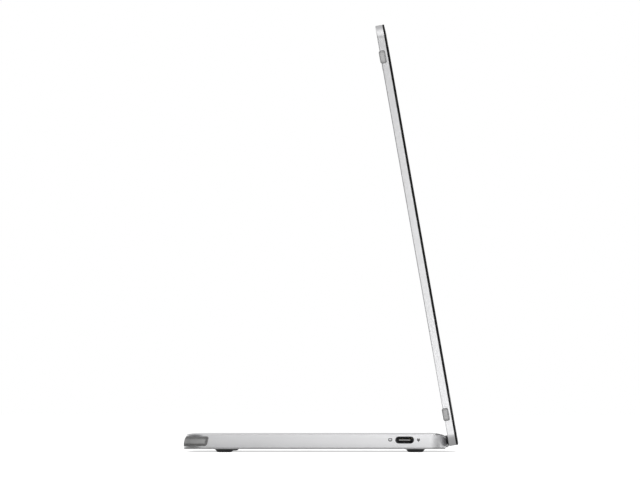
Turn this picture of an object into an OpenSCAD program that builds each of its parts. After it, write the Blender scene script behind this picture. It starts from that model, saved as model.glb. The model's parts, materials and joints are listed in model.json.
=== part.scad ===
// Portable 14 inch monitor: a thin display that stands on a hinged base slab.
// The display folds flat onto the base, which then covers its back.
// +X is to the viewer's right, the screen faces -Y, +Z is up.
// The origin is the middle of the whole object's footprint, on the desk.

/* [Picture] */
// Width of the picture area
view_w = 309.4; // [290:0.1:330]
// Height of the picture area
view_h = 174; // [160:0.1:190]
// Black border left and right of the picture
border_side = 5.3; // [4.8:0.1:10]
// Black border above the picture
border_top = 6.5; // [5.6:0.1:14]
// Black border below the picture, in front of the timing board
border_bottom = 26.5; // [26:0.1:34]

/* [Display casing] */
// Depth of the silver rear cover
cover_t = 3.5; // [3.3:0.1:5]
// Back wall of the rear cover
cover_wall = 0.8; // [0.6:0.05:0.9]
// Side walls of the rear cover
cover_side = 1; // [0.7:0.1:1.2]
// Corner radius of the display, seen from the front
display_r = 6.4; // [5:0.1:9]
// Bevel round the back edge of the rear cover
cover_bevel = 0.4; // [0.2:0.05:0.5]
// Thickness of the black front frame
bezel_t = 0.9; // [0.8:0.05:1.3]
// Thickness of the frame's lip over the edge of the panel
bezel_lip = 0.45; // [0.3:0.05:0.6]
// Bevel round the front edge of the frame
bezel_bevel = 0.15; // [0.1:0.05:0.3]
// Angle that the open display leans back from upright
lean = 10; // [6:1:16]

/* [Panel layers] */
// Thickness of the liquid crystal cell
cell_t = 1.1; // [0.9:0.05:1.2]
// Thickness of the film stack
films_t = 0.4; // [0.2:0.05:0.5]
// Thickness of the light guide
guide_t = 0.6; // [0.4:0.05:0.7]
// Thickness of the reflector
reflector_t = 0.2; // [0.1:0.05:0.25]
// Sheet thickness of the tray that holds the layers
tray_t = 0.3; // [0.2:0.05:0.4]
// Thickness of the tape between panel and frame
tape_t = 0.2; // [0.1:0.05:0.25]
// Panel edge beyond the picture, at the sides and the top
panel_rim = 2.1; // [1.5:0.1:2.6]
// Panel ledge below the picture, where the flex strips bond
panel_ledge = 6; // [5:0.1:7]
// Length of the ledge that the front glass leaves bare
bond_l = 3; // [2:0.1:4]
// Count of lamps on the light bar
lamp_count = 24; // [12:1:32]

/* [Hinge] */
// Distance of the hinge axis behind the display's back
hinge_off = 3.65; // [3.55:0.05:3.9]
// Height of the hinge axis above the display's lower edge
hinge_up = 3.7; // [3.4:0.1:4.5]
// Distance of the hinge axis from the base's rear end
hinge_in = 2.75; // [2.6:0.05:3.2]
// Depth of the hinge axis below the base's top
hinge_drop = 2.85; // [2.7:0.05:2.95]
// Radius of the hinge barrel
barrel_r = 2.15; // [2:0.05:2.2]
// Wall of the hinge barrel
barrel_wall = 0.6; // [0.45:0.05:0.7]
// Width of the base's corner blocks, beside the barrel
corner_w = 36; // [32:1:60]
// Thickness of the neck that joins the barrel to the display
neck_t = 2.4; // [2:0.1:2.8]
// Radius of the steel hinge shafts
shaft_r = 1; // [0.8:0.05:1.05]
// Running play of the shafts in the torque clips, on the radius
shaft_play = 0.05; // [0.02:0.01:0.09]
// Wall of the torque clips
clip_wall = 0.5; // [0.35:0.05:0.6]
// Length of the torque clips
clip_l = 18; // [10:1:22]
// Depth of a plug in the barrel's end, round the shaft
plug_l = 15; // [10:1:20]
// Radius of the display cable
cable_r = 0.55; // [0.4:0.05:0.6]
// Place of the cable's way through the hinge, from the middle
cable_x = -30; // [-60:1:0]
// Length of the cable's run inside the barrel
cable_run = 18; // [12:1:30]

/* [Base] */
// Depth of the base along its underside
base_depth = 127.5; // [118:0.5:150]
// Height of the base without its feet
base_h = 7.2; // [7:0.1:9]
// Distance by which the front end leans back from bottom to top
front_slant = 1.75; // [0.5:0.05:2.5]
// Corner radius of the base, seen from above
base_r = 8.3; // [6:0.1:12]
// Top wall of the base shell
top_wall = 0.9; // [0.7:0.05:1.1]
// Side walls of the base shell
side_wall = 1.3; // [1:0.1:1.6]
// Radius of the sweep in which the top falls away towards the hinge
sweep_r = 19; // [17:0.5:30]
// Length of that sweep along the base
sweep_l = 8; // [5:0.5:8]
// Round where the sweep meets the base's rear end
rear_round = 0.8; // [0.4:0.1:1.2]
// Bevel along the base's side top edges
base_bevel = 0.4; // [0.2:0.05:0.6]
// Thickness of the bottom plate
plate_t = 0.7; // [0.6:0.05:1]
// Distance of the bottom plate's edge inside the shell's outline
plate_inset = 0.3; // [0.1:0.05:0.6]
// Thickness of the lip that runs under the barrel
lip_t = 1.7; // [1.5:0.1:1.8]
// Gap between the lip and the display that leans on it
stop_gap = 0.3; // [0.2:0.05:0.4]
// Height of the ribs under the top wall
rib_h = 2.4; // [1:0.1:3]

/* [Feet and bumpers] */
// Height of the feet
foot_h = 1.6; // [1.2:0.1:3]
// Width of a foot at its skirt
foot_d = 10.7; // [9.2:0.1:14]
// Width of a foot below its skirt
waist_d = 8.2; // [7:0.1:8.6]
// Width of a foot's flat sole
sole_d = 4.6; // [3:0.1:6]
// Distance of the rear feet from the base's rear end
foot_rear = 14.9; // [12:0.1:20]
// Distance of the front feet from the base's front end
foot_front = 19.9; // [14:0.1:28]
// Distance of the feet from the base's sides
foot_side = 18; // [14:0.5:40]
// How far pads and bumpers stand out
proud = 0.5; // [0.3:0.05:0.5]
// How deep pads and bumpers sit in the metal
pad_seat = 0.6; // [0.4:0.05:0.7]
// Length of a corner pad along the base's side
pad_l = 11; // [9:0.1:14]
// Height of a corner pad
pad_h = 4.6; // [3:0.1:5]
// Height of a corner pad's middle above the base's underside
pad_up = 3.8; // [3.2:0.1:4]
// Length of a display bumper
bumper_l = 6.2; // [5:0.1:9]
// Width of a display bumper on the display's side
bumper_w = 2.5; // [2:0.1:2.8]
// Width of a display bumper on the display's back
bumper_reach = 2.2; // [1.6:0.1:3]
// Corner radius of a display bumper
bumper_r = 0.9; // [0.4:0.1:1.2]
// Distance of a bumper's middle from the display's end
bumper_end = 15.5; // [12:0.1:22]

/* [Ports and buttons] */
// Width of a port's metal shell
port_w = 8.94; // [8.8:0.02:9.1]
// Height of a port's metal shell
port_h = 3.26; // [3.2:0.02:3.3]
// Depth of a port's metal shell
port_l = 7.3; // [6.5:0.1:9]
// Sheet thickness of a port's metal shell
port_wall = 0.25; // [0.2:0.05:0.3]
// Distance of the ports from the base's rear end
port_rear = 20.1; // [19:0.1:24]
// Height of the ports' middle above the base's underside
port_up = 4.4; // [4.3:0.05:4.6]
// Gap round a port in the side wall
port_gap = 0.1; // [0.05:0.01:0.2]
// Width of the power button
power_w = 8; // [6:0.1:10]
// Width of a brightness button
bright_w = 6.4; // [5:0.1:7.5]
// Height of the buttons
button_h = 2.4; // [1.8:0.1:2.8]
// How far the buttons stand out of the side
button_proud = 0.4; // [0.3:0.05:0.45]
// Travel of the buttons
button_travel = 0.25; // [0.15:0.05:0.3]
// Gap round a button in the side wall
button_gap = 0.12; // [0.08:0.02:0.2]
// Distance of the power button from the base's rear end
power_rear = 50; // [48:0.5:56]
// Distance from one button to the next
button_pitch = 12; // [11:0.5:14]

/* [Electronics] */
// Thickness of the main and button boards
board_t = 0.8; // [0.6:0.1:1]
// Depth of the main board's long strip
strip_d = 22; // [20:0.5:24]
// Width of the main board's middle part
core_w = 140; // [110:1:180]
// Depth of the main board's middle part
core_d = 34; // [28:0.5:40]
// Edge of the scaler chip
chip_w = 14; // [10:0.5:18]
// Height of the shield can over the scaler chip
can_h = 2; // [1.8:0.1:2.4]
// Shank radius of the small screws
screw_r = 0.6; // [0.5:0.05:0.7]
// Clearance that parts of one casing are given
fit_gap = 0.1; // [0.05:0.01:0.15]

/* [Hidden] */
$fn = 48;

silver = [0.82, 0.83, 0.84];
black = [0.05, 0.05, 0.055];
rubber = [0.5, 0.5, 0.5];
dark_rubber = [0.25, 0.25, 0.26];
steel = [0.6, 0.61, 0.63];
green = [0.05, 0.3, 0.15];
cut = 1;                                   // how far a cutter runs past what it cuts

// Display, in its own upright frame: back face at y = 0, lower edge at z = 0
display_w = view_w + 2 * border_side;
display_h = view_h + border_top + border_bottom;
display_t = cover_t + bezel_t;
cell_front = display_t - bezel_lip - tape_t;   // depths count from the back face
cell_back = cell_front - cell_t;
films_back = cell_back - films_t;
guide_back = films_back - guide_t;
reflector_back = guide_back - reflector_t;
tray_back = reflector_back - tray_t;
panel_w = view_w + 2 * panel_rim;
panel_low = border_bottom - panel_ledge;
panel_high = border_bottom + view_h + panel_rim;
layer_w = panel_w - 2 * (tray_t + fit_gap);
layer_low = panel_low + tray_t + fit_gap;
layer_high = panel_high - tray_t - fit_gap;
lamp_strip = 3;                            // space for the light bar below the guide
lamp = [3, 0.5, 1];
view_play = 0.2;                           // picture opening beyond the picture
rim_t = 0.5;
rim_l = 0.8;
timing_t = 0.6;
timing_back = cover_wall + fit_gap;
timing_low = hinge_up + neck_t / 2 + 1.4;
timing_h = 9.5;
timing_w = 190;
timing_chip = 6;
flex_t = 0.15;
flex_w = 24;
flex_pitch = 60;

// Base: rear end at y = 0, before the whole is centred
base_w = display_w;
under = foot_h;                            // height of the base's underside
base_top = under + base_h;
shell_low = under + plate_t;
ceiling = base_top - top_wall;
sweep_z = base_top - sweep_r;              // height of the sweep's centre
hinge_y = hinge_in;
hinge_z = base_top - hinge_drop;
notch_r = barrel_r + 0.45;
barrel_l = base_w - 2 * corner_w;
notch_w = barrel_l + 0.8;
notch_wall = 1.2;
lip_top = shell_low + lip_t;
clip_r = shaft_r + shaft_play + clip_wall;
clip_x = notch_w / 2 + side_wall + 0.4;    // inner end of a torque clip
shaft_tip = 0.4;                           // shaft beyond the clip
leaf_t = 0.7;
leaf_l = 13;
port_z = under + port_up;
board_z = port_z - port_h / 2 - board_t;   // underside of the boards
board_top = board_z + board_t;
board_rear = 9.5;
board_w = base_w - 2 * side_wall - 1.2;
side_x = base_w / 2;
wall_x = side_x - side_wall;
port_x = side_x - 0.3;                     // mouth of a port
button_z = port_z;
flange_t = 0.8;
flange_rim = 0.5;
seat_gap = 0.3;
stem_x = wall_x - seat_gap - flange_t;
switch_x = stem_x - 0.3 - seat_gap - button_travel + 0.2;
pad_z = under + pad_up;
pad_rim = 0.85;                            // lower rim round a pad's raised face
peg_r = 1.5;                               // peg that holds a foot in the plate
cable_gap = 0.3;
cable_bend = 2 * cable_r;
plug_w = 14;                               // cable plugs, along X
lap = 0.1;                                 // overlap of the lengths that make up a cable or shaft
screw_side = 22;                           // outer base screws, from the side wall
screw_in = 10;                             // base screws, from the strip of the board and the front
pad_low = pad_z - pad_h / 2;
rear_reach = hinge_y - (hinge_off + display_t) * cos(lean) - (hinge_up - bezel_bevel) * sin(lean);
front_reach = max(front_y(pad_low) + proud / 2, front_y(pad_low + pad_rim) + proud, front_y(shell_low));
mid_y = (rear_reach + front_reach) / 2;

head_r = 2 * screw_r;
head_t = 0.5;
boss_r = screw_r + 1.4;
barrel_screw_x = [for (i = [0:3]) barrel_l * (0.13 + 0.09 * i)];
plate_spots = concat(
    [for (sx = [-1, 1], fx = [0.16, 0.42]) [sx * notch_w * fx, hinge_y + notch_r + notch_wall + 0.6]],
    [for (sx = [-1, 1]) [sx * (wall_x - screw_side), board_rear + strip_d + screw_in]],
    [for (sx = [-1, 1], fx = [0.15, 0.42]) [sx * base_w * fx, base_depth - side_wall - screw_in]]);
board_spots = concat(
    [for (sx = [-1, 1], fx = [0.22, 0.43]) [sx * board_w * fx, board_rear + strip_d / 2]],
    [for (sx = [-1, 1]) [sx * (core_w / 2 - 5), board_rear + strip_d + core_d - 5]]);
button_low = power_rear - button_pitch / 2;
button_high = power_rear + 2.5 * button_pitch;
button_board_w = 11;
button_board_x = switch_x - 4;
button_spots = [for (f = [0.5, 1.5]) [button_board_x - 4, power_rear + f * button_pitch]];

function front_y(z) = base_depth - front_slant * (z - under) / base_h;
function back_y(z) = hinge_y - hinge_off / cos(lean) + (z - hinge_z) * tan(lean);

// ---- Helpers ----

module in_frame() translate([0, -mid_y, 0]) children();

module on_display()
    in_frame() translate([0, hinge_y, hinge_z]) rotate([-lean, 0, 0])
        translate([0, -hinge_off, -hinge_up]) children();

module along_x(l) rotate([90, 0, 90]) linear_extrude(l, center = true) children();

module rod_x(r, l) rotate([0, 90, 0]) cylinder(h = l, r = r, center = true);

module rounded_rect(w, h, r) {
    square([w - 2 * r, h], center = true);
    square([w, h - 2 * r], center = true);
    for (sx = [-1, 1], sy = [-1, 1])
        translate([sx * (w / 2 - r), sy * (h / 2 - r)]) circle(r);
}

module pill(w, h) {
    square([w - h, h], center = true);
    for (sx = [-1, 1]) translate([sx * (w - h) / 2, 0]) circle(d = h);
}

// A layer of the display between two depths, given by its own outline
module layer(depth, t) translate([0, -depth, 0]) rotate([90, 0, 0]) linear_extrude(t) children();

module outline(grow) translate([0, display_h / 2])
    rounded_rect(display_w + 2 * grow, display_h + 2 * grow, display_r + grow);

module panel_outline(w, low, high) translate([-w / 2, low]) square([w, high - low]);

// Cutter that bevels the rim of the display's outline at the back face
module rim_bevel(c) {
    far = display_r + cut;
    section = [[display_r - c, 0], [display_r - c - cut, cut], [far, cut], [far, -c - cut], [display_r, -c]];
    translate([0, 0, display_h / 2]) for (sx = [0, 1]) mirror([sx, 0, 0]) {
        translate([display_w / 2 - display_r, 0, 0])
            linear_extrude(display_h - 2 * display_r, center = true) polygon(section);
        for (sz = [0, 1]) mirror([0, 0, sz])
            translate([display_w / 2 - display_r, 0, display_h / 2 - display_r])
                rotate([90, 0, 0]) mirror([0, 0, 1]) rotate_extrude(angle = 90) polygon(section);
    }
    for (sz = [0, 1]) translate([0, 0, display_h / 2]) mirror([0, 0, sz])
        translate([0, 0, display_h / 2 - display_r]) rotate([0, -90, 0])
            linear_extrude(display_w - 2 * display_r, center = true) polygon(section);
}

// ---- Display ----

// Block of a bumper, rounded as seen from the side and from the back
module bumper_form(sx, z, grow) {
    reach = bumper_reach + proud + 2 * grow;
    depth = bumper_w + proud + 2 * grow;
    l = bumper_l + 2 * grow;
    translate([sx * (side_x - bumper_reach / 2 + proud / 2), (proud - bumper_w) / 2, z]) intersection() {
        along_x(reach) rounded_rect(depth, l, bumper_r + grow);
        rotate([90, 0, 0]) linear_extrude(depth, center = true) rounded_rect(reach, l, bumper_r + grow);
    }
}

module bumper(sx, z) color(rubber) on_display() difference() {
    bumper_form(sx, z, 0);
    layer(pad_seat, display_t) outline(-pad_seat);
}

module bumper_seat(sx, z) difference() {
    bumper_form(sx, z, fit_gap);
    layer(pad_seat + fit_gap, display_t) outline(-pad_seat - fit_gap);
}

module rear_cover() color(silver) on_display() difference() {
    layer(0, cover_t) outline(0);
    layer(cover_wall, cover_t) outline(-cover_side);
    rim_bevel(cover_bevel);
    for (sx = [-1, 1], z = [bumper_end, display_h - bumper_end]) bumper_seat(sx, z);
    for (sx = [-1, 1], x = barrel_screw_x)
        translate([sx * x, 0, hinge_up]) rotate([90, 0, 0])
            cylinder(h = 4 * cut, r = screw_r + fit_gap, center = true);
    translate([cable_x + cable_run, 0, hinge_up]) rotate([90, 0, 0])
        cylinder(h = 4 * cut, r = cable_r + fit_gap, center = true);
}

module front_bezel() color(black) on_display() difference() {
    union() {
        layer(cover_t, bezel_t) outline(0);
        layer(cover_t - rim_l, rim_l) outline(-cover_side - fit_gap);
    }
    layer(cover_t - rim_l - cut, rim_l + cut) outline(-cover_side - fit_gap - rim_t);
    layer(cover_t - cut, display_t - bezel_lip - cover_t + cut)
        panel_outline(panel_w + 4 * fit_gap, panel_low - 2 * fit_gap, panel_high + 2 * fit_gap);
    layer(0, display_t + cut)
        panel_outline(view_w + 2 * view_play, border_bottom - view_play,
                      border_bottom + view_h + view_play);
    translate([0, -display_t, 0]) mirror([0, 1, 0]) rim_bevel(bezel_bevel);
}

module bezel_tape() color([0.12, 0.12, 0.12]) on_display() layer(cell_front, tape_t) difference() {
    panel_outline(panel_w, panel_low + bond_l + fit_gap, panel_high);
    panel_outline(view_w + 2, border_bottom - 1, border_bottom + view_h + 1);
}

module lcd_cell() color([0.02, 0.02, 0.03]) on_display() {
    layer(cell_back, cell_t / 2) panel_outline(panel_w, panel_low, panel_high);
    layer(cell_back + cell_t / 2, cell_t / 2)
        panel_outline(panel_w, panel_low + bond_l, panel_high);
}

module optical_films() color([0.9, 0.9, 0.88]) on_display()
    layer(films_back, films_t) panel_outline(layer_w, layer_low, layer_high);

module light_guide() color([0.85, 0.93, 0.95]) on_display()
    layer(guide_back, guide_t) panel_outline(layer_w, layer_low + lamp_strip, layer_high);

module reflector_sheet() color("white") on_display()
    layer(reflector_back, reflector_t) panel_outline(layer_w, layer_low, layer_high);

module light_bar() color([0.9, 0.8, 0.4]) on_display() {
    layer(guide_back, flex_t)
        panel_outline(layer_w - 4, layer_low, layer_low + lamp_strip - fit_gap);
    for (i = [0:lamp_count - 1])
        translate([(i + 0.5 - lamp_count / 2) * (layer_w - 8) / lamp_count,
                   -guide_back - flex_t, layer_low + lamp_strip - fit_gap - lamp.z / 2])
            translate([0, -(guide_t - flex_t) / 2, 0])
                cube([lamp.x, guide_t - flex_t, lamp.z], center = true);
}

module panel_tray() color(steel) on_display() difference() {
    layer(tray_back, cell_back - tray_back) panel_outline(panel_w, panel_low, panel_high);
    layer(tray_back + tray_t, cell_back)
        panel_outline(panel_w - 2 * tray_t, panel_low + tray_t, panel_high - tray_t);
}

module panel_pads() color([0.2, 0.2, 0.22]) on_display()
    for (sx = [-1, 1]) layer(cover_wall, tray_back - cover_wall)
        translate([sx * panel_w * 0.44, (panel_low + panel_high) / 2])
            square([10, view_h * 0.85], center = true);

module timing_board() color(green) on_display()
    layer(timing_back, timing_t) translate([-timing_w / 2, timing_low]) square([timing_w, timing_h]);

module timing_chips() color(black) on_display() {
    layer(timing_back + timing_t, 0.8)
        translate([0, timing_low + timing_h * 0.35]) square(timing_chip, center = true);
    for (sx = [-1, 1]) layer(timing_back + timing_t, 0.7)
        translate([sx * timing_w * 0.32, timing_low + timing_h * 0.35])
            square([timing_chip + 2, timing_chip / 2], center = true);
}

module source_flex() color([0.75, 0.5, 0.15]) on_display() {
    bond = cell_back + cell_t / 2;
    land = timing_back + timing_t;
    turn = panel_low - 1;
    for (i = [-1:1]) translate([i * flex_pitch, 0, 0]) along_x(flex_w) {
        translate([-bond - flex_t, turn]) square([flex_t, panel_low + bond_l - 0.5 - turn]);
        translate([-bond - flex_t, turn]) square([bond + flex_t - land, flex_t]);
        translate([-land - flex_t, timing_low + timing_h - 2.5])
            square([flex_t, turn + flex_t - timing_low - timing_h + 2.5]);
    }
}

module panel_plug() color([0.85, 0.83, 0.78]) on_display()
    layer(timing_back + timing_t, 1.2)
        translate([cable_x + cable_run - plug_w / 2, timing_low]) square([plug_w, 2.8]);

// A quarter turn of the cable, from +X to +Y round the origin, with a straight start and end
module cable_turn() {
    rotate_extrude(angle = 90) translate([cable_bend, 0]) circle(cable_r);
    translate([cable_bend, 0, 0]) rotate([90, 0, 0]) cylinder(h = lap, r = cable_r);
    translate([0, cable_bend, 0]) rotate([0, -90, 0]) cylinder(h = lap, r = cable_r);
}

module panel_cable() color([0.15, 0.15, 0.16]) on_display() {
    far = cable_x + cable_run;
    near = cable_x + 2 * cable_bend + cable_gap;
    level = timing_back + timing_t + 0.6;
    translate([(near + far - cable_bend) / 2, hinge_off, hinge_up])
        rod_x(cable_r, far - cable_bend - near);
    translate([far - cable_bend, hinge_off - cable_bend, hinge_up]) cable_turn();
    translate([far, hinge_off - cable_bend, hinge_up]) rotate([90, 0, 0])
        cylinder(h = hinge_off + level - 2 * cable_bend, r = cable_r);
    translate([far, cable_bend - level, hinge_up + cable_bend])
        rotate([90, 0, 90]) rotate(180) cable_turn();
    translate([far, -level, hinge_up + cable_bend])
        cylinder(h = timing_low - hinge_up - cable_bend, r = cable_r);
}

module bumper_upper_left() bumper(-1, display_h - bumper_end);
module bumper_upper_right() bumper(1, display_h - bumper_end);
module bumper_lower_left() bumper(-1, bumper_end);
module bumper_lower_right() bumper(1, bumper_end);

// ---- Hinge, display side ----

function neck_drop(d) = (hinge_z - lip_top - stop_gap + d * sin(lean)) / cos(lean);

module hinge_barrel() color([0.16, 0.16, 0.17]) on_display() difference() {
    along_x(barrel_l) difference() {
        union() {
            translate([hinge_off, hinge_up]) circle(barrel_r);
            // The neck's underside runs level above the lip
            translate([0, hinge_up]) polygon([[hinge_off, neck_t / 2], [0, neck_t / 2],
                [0, -neck_drop(hinge_off)], [hinge_off, -neck_drop(0)]]);
        }
        translate([hinge_off, hinge_up]) circle(barrel_r - barrel_wall);
    }
    for (sx = [-1, 1], x = barrel_screw_x)
        translate([sx * x, 0, hinge_up]) rotate([-90, 0, 0])
            translate([0, 0, -cut]) cylinder(h = hinge_off - barrel_r / 2 + cut, r = screw_r + fit_gap / 2);
    translate([cable_x + cable_run, 0, hinge_up]) rotate([-90, 0, 0])
        translate([0, 0, -cut]) cylinder(h = hinge_off + cut, r = cable_r + fit_gap);
    // Window through which the cable enters at every angle of the display
    translate([cable_x, hinge_off, hinge_up]) rotate([90, 0, 90])
        linear_extrude(2 * cable_r + 1.4, center = true) rotate(lean)
            polygon([[0, 0], for (a = [-34:24.4:113]) 2 * barrel_r * [cos(a), sin(a)]]);
}

module barrel_plugs() color(steel) on_display() for (sx = [-1, 1])
    translate([sx * (barrel_l - plug_l) / 2, hinge_off, hinge_up]) difference() {
        rod_x(barrel_r - barrel_wall - fit_gap / 2, plug_l);
        along_x(plug_l + cut) shaft_section(fit_gap / 2);
    }

// The shaft is flattened on one side where a plug grips it
module shaft_section(grow) difference() {
    circle(shaft_r + grow);
    translate([-cut - shaft_r, shaft_r * 0.6 + grow]) square([2 * cut + 2 * shaft_r, shaft_r + cut]);
}

module hinge_shaft(sx) color(steel) on_display() translate([0, hinge_off, hinge_up]) {
    grip = barrel_l / 2 - plug_l;
    tip = clip_x + clip_l + shaft_tip;
    translate([sx * (grip + barrel_l / 2 + lap) / 2, 0, 0]) along_x(plug_l + lap) shaft_section(0);
    translate([sx * (barrel_l / 2 + tip) / 2, 0, 0]) rod_x(shaft_r, tip - barrel_l / 2);
}

module hinge_shaft_left() hinge_shaft(-1);
module hinge_shaft_right() hinge_shaft(1);

module barrel_screws() color(steel) on_display() for (sx = [-1, 1], x = barrel_screw_x)
    translate([sx * x, 0, hinge_up]) rotate([90, 0, 0]) {
        translate([0, 0, cover_wall]) cylinder(h = head_t, r = head_r);
        translate([0, 0, -1.2]) cylinder(h = cover_wall + 1.2, r = screw_r);
    }

// ---- Base ----

// Outer form of the base, grown or shrunk all round, between two heights
module base_form(grow, low, high) intersection() {
    along_x(base_w + 2 * grow) base_profile(grow, low, high);
    translate([0, base_depth / 2, low]) linear_extrude(high - low)
        rounded_rect(base_w + 2 * grow, base_depth + 2 * grow, base_r + grow);
}

// Side view of the base: the front end slants, and the top sweeps down to the hinge
module base_profile(grow, low, high) {
    r = rear_round;
    sweep = sweep_r + high - base_top;
    rear_z = sweep_z + sqrt(sweep * sweep - pow(sweep_l - r, 2));
    difference() {
        union() {
            translate([sweep_l, sweep_z]) intersection() {
                circle(sweep);
                translate([r - grow - sweep_l, 0]) square([sweep_l - r + grow, sweep]);
            }
            polygon([[sweep_l, low], [front_y(low) + grow, low], [front_y(high) + grow, high],
                     [sweep_l, high]]);
            translate([r - grow, low]) square([sweep_l - r + grow, rear_z - r - low]);
            translate([-grow, low]) square([2 * r, rear_z - r - low]);
            translate([r - grow, rear_z - r]) circle(r);
        }
        translate([-cut - grow, low - sweep]) square([base_depth + 2 * cut, sweep]);
    }
}

module pad_block(sx, grow) {
    low = pad_low - grow;
    high = pad_low + pad_h + grow;
    nip = 0.9;
    intersection() {
        along_x(base_w + 4 * cut) polygon([
            [front_y(low) - pad_l - grow, low + nip], [front_y(low) - pad_l - grow + nip, low],
            [front_y(low) + cut, low], [front_y(high) + cut, high],
            [front_y(high) - pad_l - grow + nip, high], [front_y(high) - pad_l - grow, high - nip]]);
        translate([sx > 0 ? side_x - pad_l - grow : -side_x - 2 * cut, base_depth - 2 * pad_l, low - cut])
            cube([pad_l + grow + 2 * cut, 3 * pad_l, pad_h + 2 * grow + 2 * cut]);
    }
}

// Soft pad that wraps a front corner, with a raised face inside a lower rim
module corner_pad(sx) color(rubber) in_frame() difference() {
    for (step = [[proud / 2, 0], [proud, -pad_rim]]) intersection() {
        base_form(step[0], under, base_top);
        pad_block(sx, step[1]);
    }
    base_form(-pad_seat, under - cut, base_top + cut);
}

module corner_pad_left() corner_pad(-1);
module corner_pad_right() corner_pad(1);

module pad_seats() for (sx = [-1, 1]) difference() {
    pad_block(sx, fit_gap);
    base_form(-pad_seat - fit_gap, under - cut, base_top + cut);
}

module side_bevels() for (sx = [0, 1]) mirror([sx, 0, 0])
    translate([side_x, base_depth / 2, base_top]) rotate([90, 0, 0])
        linear_extrude(base_depth + 4 * cut, center = true)
            polygon([[-base_bevel, 0], [-base_bevel - cut, cut], [cut, cut],
                     [cut, -base_bevel - cut], [0, -base_bevel]]);

module hinge_notch() along_x(notch_w) {
    translate([hinge_y, hinge_z]) circle(notch_r);
    translate([hinge_y - 4 * barrel_r, lip_top])
        square([4 * barrel_r, base_top + cut - lip_top]);
    translate([hinge_y - cut, hinge_z]) square([notch_r + cut - 0.05, base_top + cut - hinge_z]);
}

module lip() along_x(notch_w) polygon([
    [back_y(shell_low) + stop_gap / cos(lean), shell_low], [side_wall, shell_low],
    [side_wall, lip_top], [back_y(lip_top) + stop_gap / cos(lean), lip_top]]);

module boss(spot, low) translate([spot.x, spot.y, low])
    cylinder(h = ceiling + top_wall / 2 - low, r = boss_r);

module screw_bore(spot, low, l) translate([spot.x, spot.y, low - cut])
    cylinder(h = l + cut, r = screw_r + fit_gap / 2);

module port_cut(sx) translate([sx * (side_x - side_wall / 2), port_rear, port_z])
    along_x(side_wall + 2 * cut) pill(port_w + 2 * port_gap, port_h + 2 * port_gap);

module button_cut(i, w) translate([side_x - side_wall / 2, power_rear + i * button_pitch, button_z])
    along_x(side_wall + 2 * cut) pill(w + 2 * button_gap, button_h + 2 * button_gap);

module clip_spots(sx) for (f = [0.25, 0.75])
    translate([sx * (clip_x + f * clip_l), hinge_y + leaf_l * 0.72, 0]) children();

module base_shell() color(silver) in_frame() difference() {
    union() {
        difference() {
            base_form(0, shell_low, base_top);
            base_form(-side_wall, shell_low - cut, ceiling);
        }
        lip();
        // Wall and shelf round the barrel's notch
        intersection() {
            translate([-notch_w / 2 - side_wall, side_wall / 2, shell_low])
                cube([notch_w + 2 * side_wall,
                      hinge_y + notch_r + notch_wall - side_wall / 2, base_h - plate_t - top_wall / 2]);
            base_form(0, shell_low, base_top);
        }
        for (spot = plate_spots) boss(spot, shell_low);
        for (spot = board_spots) boss(spot, board_top);
        for (spot = button_spots) boss(spot, board_top);
        for (sx = [-1, 1]) clip_spots(sx)
            translate([0, 0, hinge_z - clip_r + leaf_t])
                cylinder(h = ceiling + top_wall / 2 - hinge_z + clip_r - leaf_t, r = boss_r - 0.3);
        // Ribs in the hollow front part
        for (fx = [-0.36, -0.24, -0.08, 0.08, 0.24, 0.36])
            translate([base_w * fx - 0.5, board_rear + strip_d + core_d + 4, ceiling - rib_h])
                cube([1, base_depth - board_rear - strip_d - core_d - 4 - side_wall - front_slant,
                      rib_h + top_wall / 2]);
    }
    hinge_notch();
    side_bevels();
    pad_seats();
    for (sx = [-1, 1]) {
        port_cut(sx);
        translate([sx * (clip_x + clip_l / 2), hinge_y, hinge_z])
            rod_x(clip_r + fit_gap, clip_l + 2 * (shaft_tip + fit_gap));
        translate([sx * (clip_x - side_wall / 2), hinge_y, hinge_z])
            rod_x(shaft_r + 2 * fit_gap, 2 * side_wall + 2 * cut);
        clip_spots(sx) translate([0, 0, hinge_z - clip_r + leaf_t - cut])
            cylinder(h = 1.2 + cut, r = screw_r + fit_gap / 2);
    }
    button_cut(0, power_w);
    button_cut(1, bright_w);
    button_cut(2, bright_w);
    for (spot = plate_spots) screw_bore(spot, shell_low, 3.2);
    for (spot = concat(board_spots, button_spots)) screw_bore(spot, board_top, 2);
    translate([cable_x, hinge_y + notch_r, hinge_z]) rotate([90, 0, 0])
        cylinder(h = 4 * notch_wall, r = cable_r + fit_gap, center = true);
}

module base_plate() color([0.6, 0.61, 0.62]) in_frame() difference() {
    translate([0, base_depth / 2, under]) linear_extrude(plate_t)
        rounded_rect(base_w - 2 * plate_inset, base_depth - 2 * plate_inset, base_r - plate_inset);
    for (spot = plate_spots) {
        screw_bore(spot, under, plate_t + cut);
        translate([spot.x, spot.y, under - cut]) cylinder(h = head_t - 0.1 + cut, r = head_r + fit_gap);
    }
    foot_places() translate([0, 0, under - cut]) cylinder(h = plate_t + 2 * cut, r = peg_r + fit_gap);
}

module base_screws() color(steel) in_frame() for (spot = plate_spots)
    translate([spot.x, spot.y, under]) {
        cylinder(h = head_t - 0.1, r = head_r);
        cylinder(h = plate_t + 2.6, r = screw_r);
    }

function foot_y(front) = front ? base_depth - foot_front : foot_rear;

module foot_places() for (sx = [-1, 1], front = [false, true])
    translate([sx * (side_x - foot_side), foot_y(front), 0]) children();

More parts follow.
